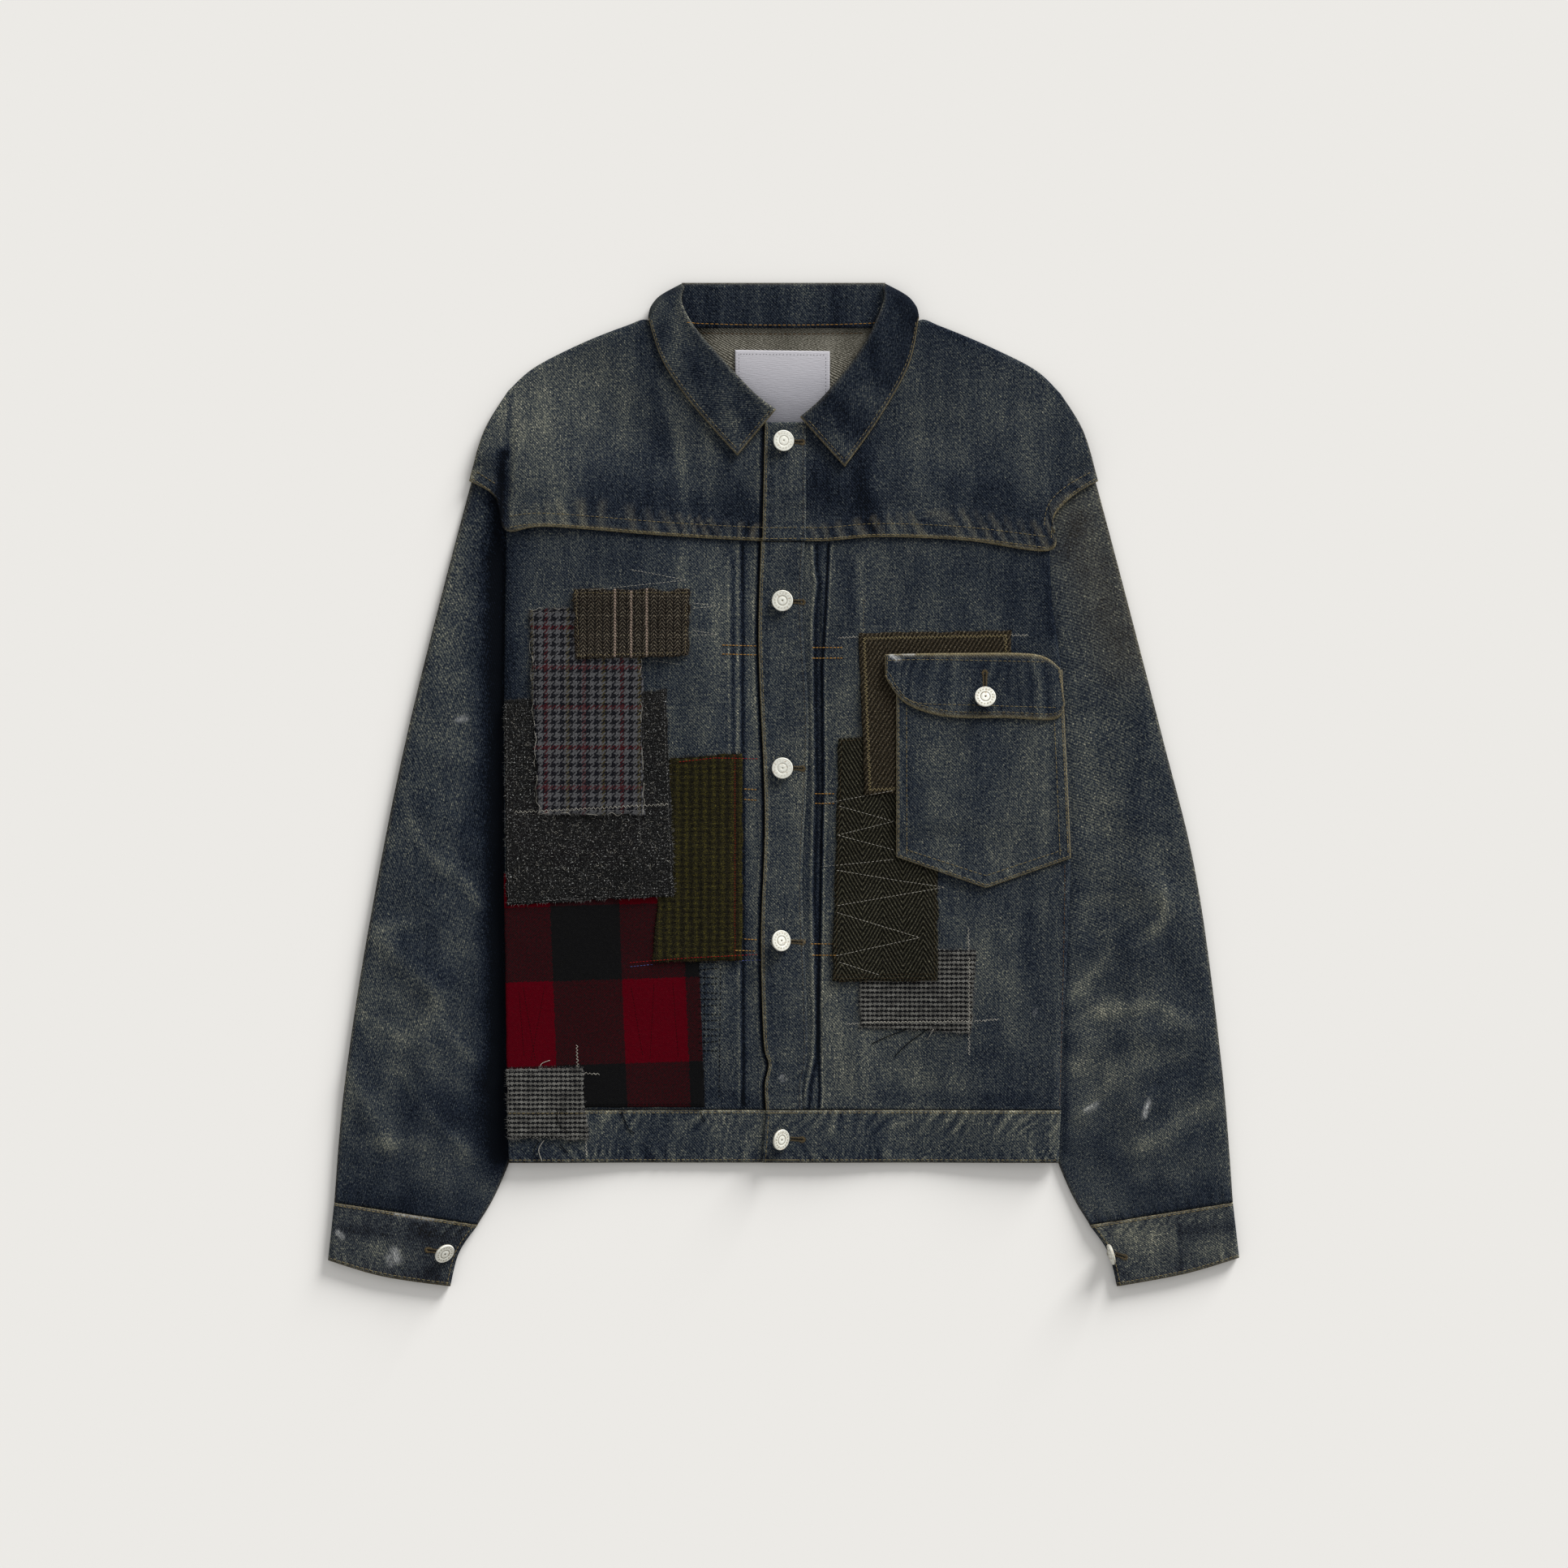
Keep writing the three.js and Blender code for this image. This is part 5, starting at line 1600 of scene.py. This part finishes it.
FLAP_INNER_ROWS = [
    [(1093, 814), (1150, 813), (1290, 816)],
    [(1096, 830), (1108, 851), (1130, 866), (1200, 869), (1302, 872)],
]
for pixels in FLAP_INNER_ROWS:
    tan.row(spots(pixels), radius=FINE)
rust.row([(BODY_HALF - 3, -258), (225, -60), (219, 84)], radius=0.2, on="front_left")

# Bars that hold the pleats
BARS_RIGHT = [(795, 889, 933), (806, 889, 933), (972, 916, 932), (985, 916, 932), (1157, 916, 933), (1171, 905, 933)]
BARS_LEFT = [
    (798, 1000, 1038), (811, 1000, 1038), (978, 1003, 1028), (990, 1003, 1030), (1163, 998, 1028), (1177, 1000, 1030),
]
for bars, slope in ((BARS_RIGHT, 1), (BARS_LEFT, 0)):
    for row, start, end in bars:
        gold.lines([(start, row), (end, row + slope)], length=2.2, gap=0.6, radius=0.42)

# Mending on the brown striped patch
for pixels in ([(777, 702), (846, 715), (723, 728)], [(853, 743), (883, 747), (853, 750)],
               [(854, 777), (884, 782), (854, 783)], [(803, 814), (838, 819)]):
    pale.lines(pixels, length=2.0, gap=0.8, radius=0.2)
edge_rows(tan, "brown_stripe", 2.8, dict.fromkeys(ALL_SIDES, 3), length=1.8, gap=1.3, radius=0.2, wander=0.3)

# Houndstooth: wandering pale threads along its edges and a zigzag across its foot
HOUNDSTOOTH_SEEDS = dict(zip(ALL_SIDES, range(4, 8)))
for side, seed in HOUNDSTOOTH_SEEDS.items():
    rng = np.random.default_rng(seed)
    line = PATCH_PLANS["houndstooth"].row(side, -0.6)[::5]
    wander = line + rng.normal(0, 0.9, line.shape)
    for start in range(0, len(wander) - 6, 7):
        pale.loose(wander[start:start + rng.integers(4, 8)], radius=0.17, hidden_by=["patch_brown_stripe"])
edge_rows(grey, "houndstooth", 3.0, HOUNDSTOOTH_SEEDS, length=1.8, gap=1.4, radius=0.22, wander=0.3)
pale.zigzag(spot(634, 1001), spot(824, 991), 2.2, 3.4, 0.2, 8)
grey.zigzag(spot(786, 992), spot(790, 1040), 1.6, 3.0, 0.16, 9)

# Charcoal: a rolled whip stitch round its edges
CHARCOAL_SEEDS = {"left": 10, "right": 11, "low": 12}
edge_rows(grey, "charcoal", 2.2, CHARCOAL_SEEDS, length=1.7, gap=1.2, radius=FINE, wander=0.35)

# Olive check: red rows above and below that run past it, blue below
red.lines([(836, 939), (880, 934), (936, 935)], length=1.9, gap=0.8, radius=0.28)
red.lines([(775, 1186), (850, 1180), (936, 1176)], length=1.9, gap=0.8, radius=0.28)
blue.lines([(776, 1191), (806, 1188)], length=1.9, gap=0.8, radius=0.26)
blue.lines([(905, 1184), (938, 1183)], length=1.9, gap=0.8, radius=0.26)
edge_rows(brown, "olive_check", 2.4, {"left": 13, "right": 14}, length=1.8, gap=1.1, radius=0.22, wander=0.2)

# Red plaid: fine dark darts in the bright squares and dark stitches off its right edge
for pixels in ([(645, 1215), (660, 1306)], [(672, 1212), (655, 1306)], [(640, 1222), (646, 1300)],
               [(778, 1216), (792, 1300)], [(806, 1212), (801, 1306)], [(829, 1210), (836, 1304)]):
    black.lines(pixels, length=1.6, gap=0.7, radius=0.16)
for row in range(1186, 1296, 9):
    black.lines([(860, row), (884, row + (row * 7) % 5 - 2)], length=2.6, gap=0.8, radius=0.42)
for column in (869, 888):
    black.lines([(column, 1192), (column - 2, 1356)], length=2.4, gap=1.6, radius=0.36)
edge_rows(black, "red_plaid", 2.6, {"low": 1}, length=2.0, gap=1.0, radius=0.22)

# Grey checks: pale zigzags that run past the corners
for start, end in (((711, 1287), (712, 1315)), ((720, 1322), (739, 1323)), ((722, 1403), (723, 1426))):
    pale.zigzag(spot(*start), spot(*end), 1.8, 2.8, 0.22, 15)
for start, end in (((1193, 1143), (1193, 1172)), ((1194, 1180), (1194, 1300)), ((1043, 1262), (1060, 1261)),
                   ((1062, 1260), (1198, 1258)), ((1200, 1258), (1230, 1256))):
    pale.zigzag(spot(*start), spot(*end), 1.8, 2.8, 0.22, 16)
GREY_CHECK_SEEDS = {"left": 17, "low": 18, "right": 19, "high": 20}
edge_rows(grey, "grey_check_right", 1.8, GREY_CHECK_SEEDS, length=1.5, gap=1.2, radius=0.22, wander=0.3)

# Herringbone: long lines of tan mending from side to side
for pixels in ([(1010, 991), (1101, 974)], [(1033, 993), (1101, 1012), (1032, 1029), (1101, 1047)],
               [(1011, 1068), (1101, 1059)], [(1030, 1072), (1107, 1085), (1164, 1093)], [(1164, 1093), (1030, 1116)],
               [(1030, 1124), (1133, 1155), (1028, 1178)], [(1033, 1185), (1083, 1201)]):
    pale.lines(pixels, length=2.2, gap=0.9, radius=0.2)
HERRINGBONE_SEEDS = dict(zip(ALL_SIDES, range(21, 25)))
edge_rows(brown, "herringbone", 2.4, HERRINGBONE_SEEDS, length=1.9, gap=1.0, radius=0.22, wander=0.15)
edge_rows(brown, "herringbone", 5.4, {"low": 25}, length=1.9, gap=1.0, radius=0.2)

# Brown twill: a tan zigzag inside its edge, running on past its top corners
for side in ("left", "high", "low", "right"):
    line = PATCH_PLANS["brown_twill"].row(side, 4.2, 0.03, 0.97)
    tan.zigzag(line[0], line[-1], 2.6, 3.0, 0.26, 26, on="patch_brown_twill")
pale.zigzag(spot(1032, 786), spot(1060, 785), 1.8, 2.8, 0.2, 27)
pale.zigzag(spot(1244, 783), spot(1267, 783), 1.8, 2.8, 0.2, 28)
tan.lines([(1064, 738), (1064, 779)], length=1.4, gap=1.2, radius=0.15)

# Label: a dotted row inside its edge
for side in ("left", "right", "high"):
    black.row(LABEL_PLAN.row(side, 3.2, 0.05, 0.95), length=1.1, gap=1.5, radius=0.16)

# Loose ends
for pixels in ([(1118, 1268), (1096, 1276), (1074, 1286)], [(1140, 1270), (1118, 1286), (1102, 1302)],
               [(699, 1370), (688, 1366), (689, 1384), (701, 1394)], [(664, 1406), (658, 1418), (664, 1428)],
               [(862, 1368), (868, 1382)], [(765, 1368), (774, 1390), (782, 1396)], [(690, 1410), (700, 1420)]):
    black.loose(spots(pixels), radius=0.3)
for pixels in ([(665, 1316), (668, 1310), (678, 1306)], [(671, 1404), (664, 1416), (668, 1430)],
               [(1150, 1268), (1143, 1280)], [(1193, 1252), (1196, 1246)]):
    pale.loose(spots(pixels), radius=0.26)


def fray(spool, name, sides, count, length, seed):
    """Short fibres out of a patch's raw edge."""
    rng = np.random.default_rng(seed)
    outward = {"left": math.pi, "right": 0.0, "low": -math.pi / 2, "high": math.pi / 2}
    for side in sides:
        line = PATCH_PLANS[name].row(side, 0.8, 0.01, 0.99)
        for x, y in line[rng.integers(0, len(line), count)]:
            spool.hair(x, y, outward[side] + rng.normal(0, 0.6), length * rng.uniform(0.5, 1.4), "patch_" + name)


fray(grey, "houndstooth", ALL_SIDES, 80, 2.4, 31)
fray(grey, "charcoal", ALL_SIDES, 80, 2.2, 32)
fray(brown, "brown_stripe", ALL_SIDES, 60, 2.2, 33)
fray(brown, "olive_check", ALL_SIDES, 60, 2.2, 34)
fray(black, "olive_check", ("low", "high"), 60, 3.2, 35)
fray(grey, "grey_check_left", ALL_SIDES, 60, 2.4, 36)
fray(grey, "grey_check_right", ALL_SIDES, 50, 2.4, 37)
fray(brown, "herringbone", ALL_SIDES, 60, 2.0, 38)
fray(black, "red_plaid", ("right",), 90, 2.4, 39)


def hairs_on(spool, name, count, length, seed):
    """Pale hairs lying on a patch."""
    rng = np.random.default_rng(seed)
    for u, v in rng.uniform(0.02, 0.98, (count, 2)):
        x, y = PATCH_PLANS[name](np.array([u]), np.array([v]))[:, 0]
        spool.hair(x, y, rng.uniform(0, 2 * math.pi), length * rng.uniform(0.5, 1.6), "patch_" + name, 0.075, 0.5)


hairs_on(pale, "charcoal", 800, 2.2, 41)
hairs_on(grey, "charcoal", 900, 2.0, 42)
hairs_on(grey, "houndstooth", 90, 2.0, 43)


# Buttonholes and buttons

SLIT_HALF = 0.35
PURL = 0.3


def buttonhole(spool, start, end, half=1.9):
    """A worked slit with a round eye at its far end: close stitches across it, from pixel to pixel."""
    a, b = np.array(spot(*start)), np.array(spot(*end))
    long = np.hypot(*(b - a))
    along = (b - a) / long
    side = np.array([-along[1], along[0]])
    for i in np.arange(0, long, 0.75):
        wide = half * (1.0 + 0.5 * math.exp(-(((i - long) / 2.2) ** 2)))
        middle = a + along * i
        for away in (side, -side):
            spool.stitch(middle + away * SLIT_HALF, middle + away * wide, PURL)
    for turn in np.linspace(-1.5, 1.5, 9):
        out = along * math.cos(turn) + side * math.sin(turn)
        spool.stitch(b + out * 0.5, b + out * half * 1.4, PURL)
    black.row([a, b], length=2.0, gap=0.0, radius=0.4)


for row in (544, 741, 946, 1160, 1403):
    buttonhole(khaki, (974, row), (989, row + 1))
buttonhole(khaki, (1213, 850), (1213, 829))
buttonhole(khaki, (546, 1543), (527, 1540))
buttonhole(khaki, (1374, 1545), (1386, 1549))

for name, spool in SPOOLS.items():
    spool.make("sewing_" + name, "denim")

BUTTON_R = 8.5
BUTTON_PROFILE = [
    (3.0, 0.0), (3.0, 1.4), (7.6, 1.5), (8.3, 1.9), (BUTTON_R, 2.7), (8.3, 3.5), (8.0, 3.8), (7.7, 3.85), (7.4, 3.7),
    (7.1, 3.75), (6.1, 3.8), (5.1, 3.75), (4.4, 3.75), (4.1, 3.65), (3.8, 3.45), (3.5, 3.65), (3.2, 3.75), (1.2, 3.8),
    (0.9, 3.75), (0.55, 3.5), (0.0, 3.45),
]
SHANK_TOP = 1.0
BUTTON_MIDDLE = 2.7
BUTTON_FACE = 3.0
BUTTON_STEPS = 64
BUTTON_TEETH = 16


def tarnish(r, turn):
    """Dirt in the face's ring groove, its middle and the teeth stamped round it."""
    ring = 0.75 * math.exp(-(((r - 3.8) / 0.3) ** 2)) + 0.3 * math.exp(-(((r - 7.4) / 0.25) ** 2))
    middle = 0.8 * (r < 0.6)
    tooth = 0.3 * (1 - math.sin(BUTTON_TEETH * turn)) * (5.5 < r < 7.0)
    return ring + middle + tooth


def button(node, x, y, tarnished, tilt=0.0, along=(0.0, 1.0), sunk=0.0):
    """A stamped shank button, its head tipped on its shank about a line along the cloth."""
    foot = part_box(node)[0].z
    bm = bmesh.new()
    wear = bm.verts.layers.float_vector.new("wear")
    rail = [bm.verts.new((r * MM, 0, z * MM)) for r, z in BUTTON_PROFILE]
    edges = [bm.edges.new(pair) for pair in zip(rail, rail[1:])]
    bmesh.ops.spin(
        bm, geom=rail + edges, cent=(0, 0, 0), axis=(0, 0, 1), angle=2 * math.pi, steps=BUTTON_STEPS, use_merge=True)
    bmesh.ops.remove_doubles(bm, verts=bm.verts, dist=1e-7)
    bmesh.ops.holes_fill(bm, edges=[edge for edge in bm.edges if edge.is_boundary], sides=0)
    bmesh.ops.recalc_face_normals(bm, faces=bm.faces)
    head = [vertex for vertex in bm.verts if vertex.co.z > SHANK_TOP * MM]
    for vertex in bm.verts:
        r, turn = vertex.co.xy.length / MM, math.atan2(vertex.co.y, vertex.co.x)
        vertex[wear] = (tarnished * tarnish(r, turn) if vertex.co.z > BUTTON_FACE * MM else 0.3, 0, 0)
    angle = math.radians(tilt)
    lift = max(0.0, 0.8 * BUTTON_R * abs(math.sin(angle)) - 1.0)
    tip = Matrix.Rotation(angle, 3, Vector((*along, 0)))
    bmesh.ops.rotate(bm, verts=head, cent=(0, 0, BUTTON_MIDDLE * MM), matrix=tip)
    bmesh.ops.translate(bm, verts=head, vec=(0, 0, lift * MM))
    bmesh.ops.translate(bm, verts=bm.verts, vec=(x * MM, y * MM, foot - sunk * MM))
    for face in bm.faces:
        face.smooth = True
    mesh = bpy.data.meshes.new(node)
    bm.to_mesh(mesh)
    bm.free()
    mesh.materials.append(BUTTON_METAL)
    piece = placed(node + "_stamped", mesh)
    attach(piece, "root")
    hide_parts(node)


button("button_neck", 0, 275, 0.5, tilt=12)
button("button_chest", -1, 147, 0.6)
button("button_middle", -1, 13, 0.35)
button("button_lower", -2, -125, 0.8, tilt=-30, along=(0.12, -0.99))
button("button_waist", -2, -284, 1.0, tilt=44, along=(0.22, 0.97))
button("button_pocket", 161, 70, 1.0, tilt=-18, along=(1.0, -0.1))
button("button_cuff_right", -271, -375, 1.0, tilt=-46, along=(-0.71, -0.7))
button("button_cuff_left", 262, -376, 0.9, tilt=-82, along=(-0.25, 0.97), sunk=5)


# Studio

KEY = 0.46  # share of the floor's light that comes from the softbox
SOFTBOX_ANGLE = 26
TOWARD_SOFTBOX = (1.8, 2.75, 1.0)
FLOOR_HALF = 20
LENS = 120
SENSOR = 36
CLOTH_LEVEL = 0.006  # the camera's scale holds at this height


def studio():
    bm = bmesh.new()
    bmesh.ops.create_grid(bm, x_segments=2, y_segments=2, size=FLOOR_HALF)
    mesh = bpy.data.meshes.new("floor")
    bm.to_mesh(mesh)
    bm.free()
    f = Finish("pale_floor")
    mesh.materials.append(f.close(tint(236, 234, 230), 1.0))
    floor = placed("floor", mesh)

    world = bpy.data.worlds.new("studio")
    world.use_nodes = True
    sky = world.node_tree.nodes["Background"].inputs
    sky["Color"].default_value = (1, 1, 1, 1)
    sky["Strength"].default_value = 1 - KEY
    bpy.context.scene.world = world

    lamp = bpy.data.lights.new("softbox", "SUN")
    lamp.angle = math.radians(SOFTBOX_ANGLE)
    toward = Vector(TOWARD_SOFTBOX).normalized()
    lamp.energy = KEY * math.pi / toward.z
    light = placed("softbox", lamp)
    light.rotation_euler = toward.to_track_quat("Z", "Y").to_euler()

    lens = bpy.data.cameras.new("camera")
    lens.lens = LENS
    lens.sensor_width = SENSOR
    camera = placed("camera", lens)
    wide = PIXELS * MM_PER_PIXEL * MM
    centre = spot(PIXELS / 2, PIXELS / 2)
    camera.location = (centre[0] * MM, centre[1] * MM, wide * LENS / SENSOR + CLOTH_LEVEL)
    bpy.context.scene.camera = camera
    bpy.context.scene.view_settings.view_transform = "Standard"


studio()
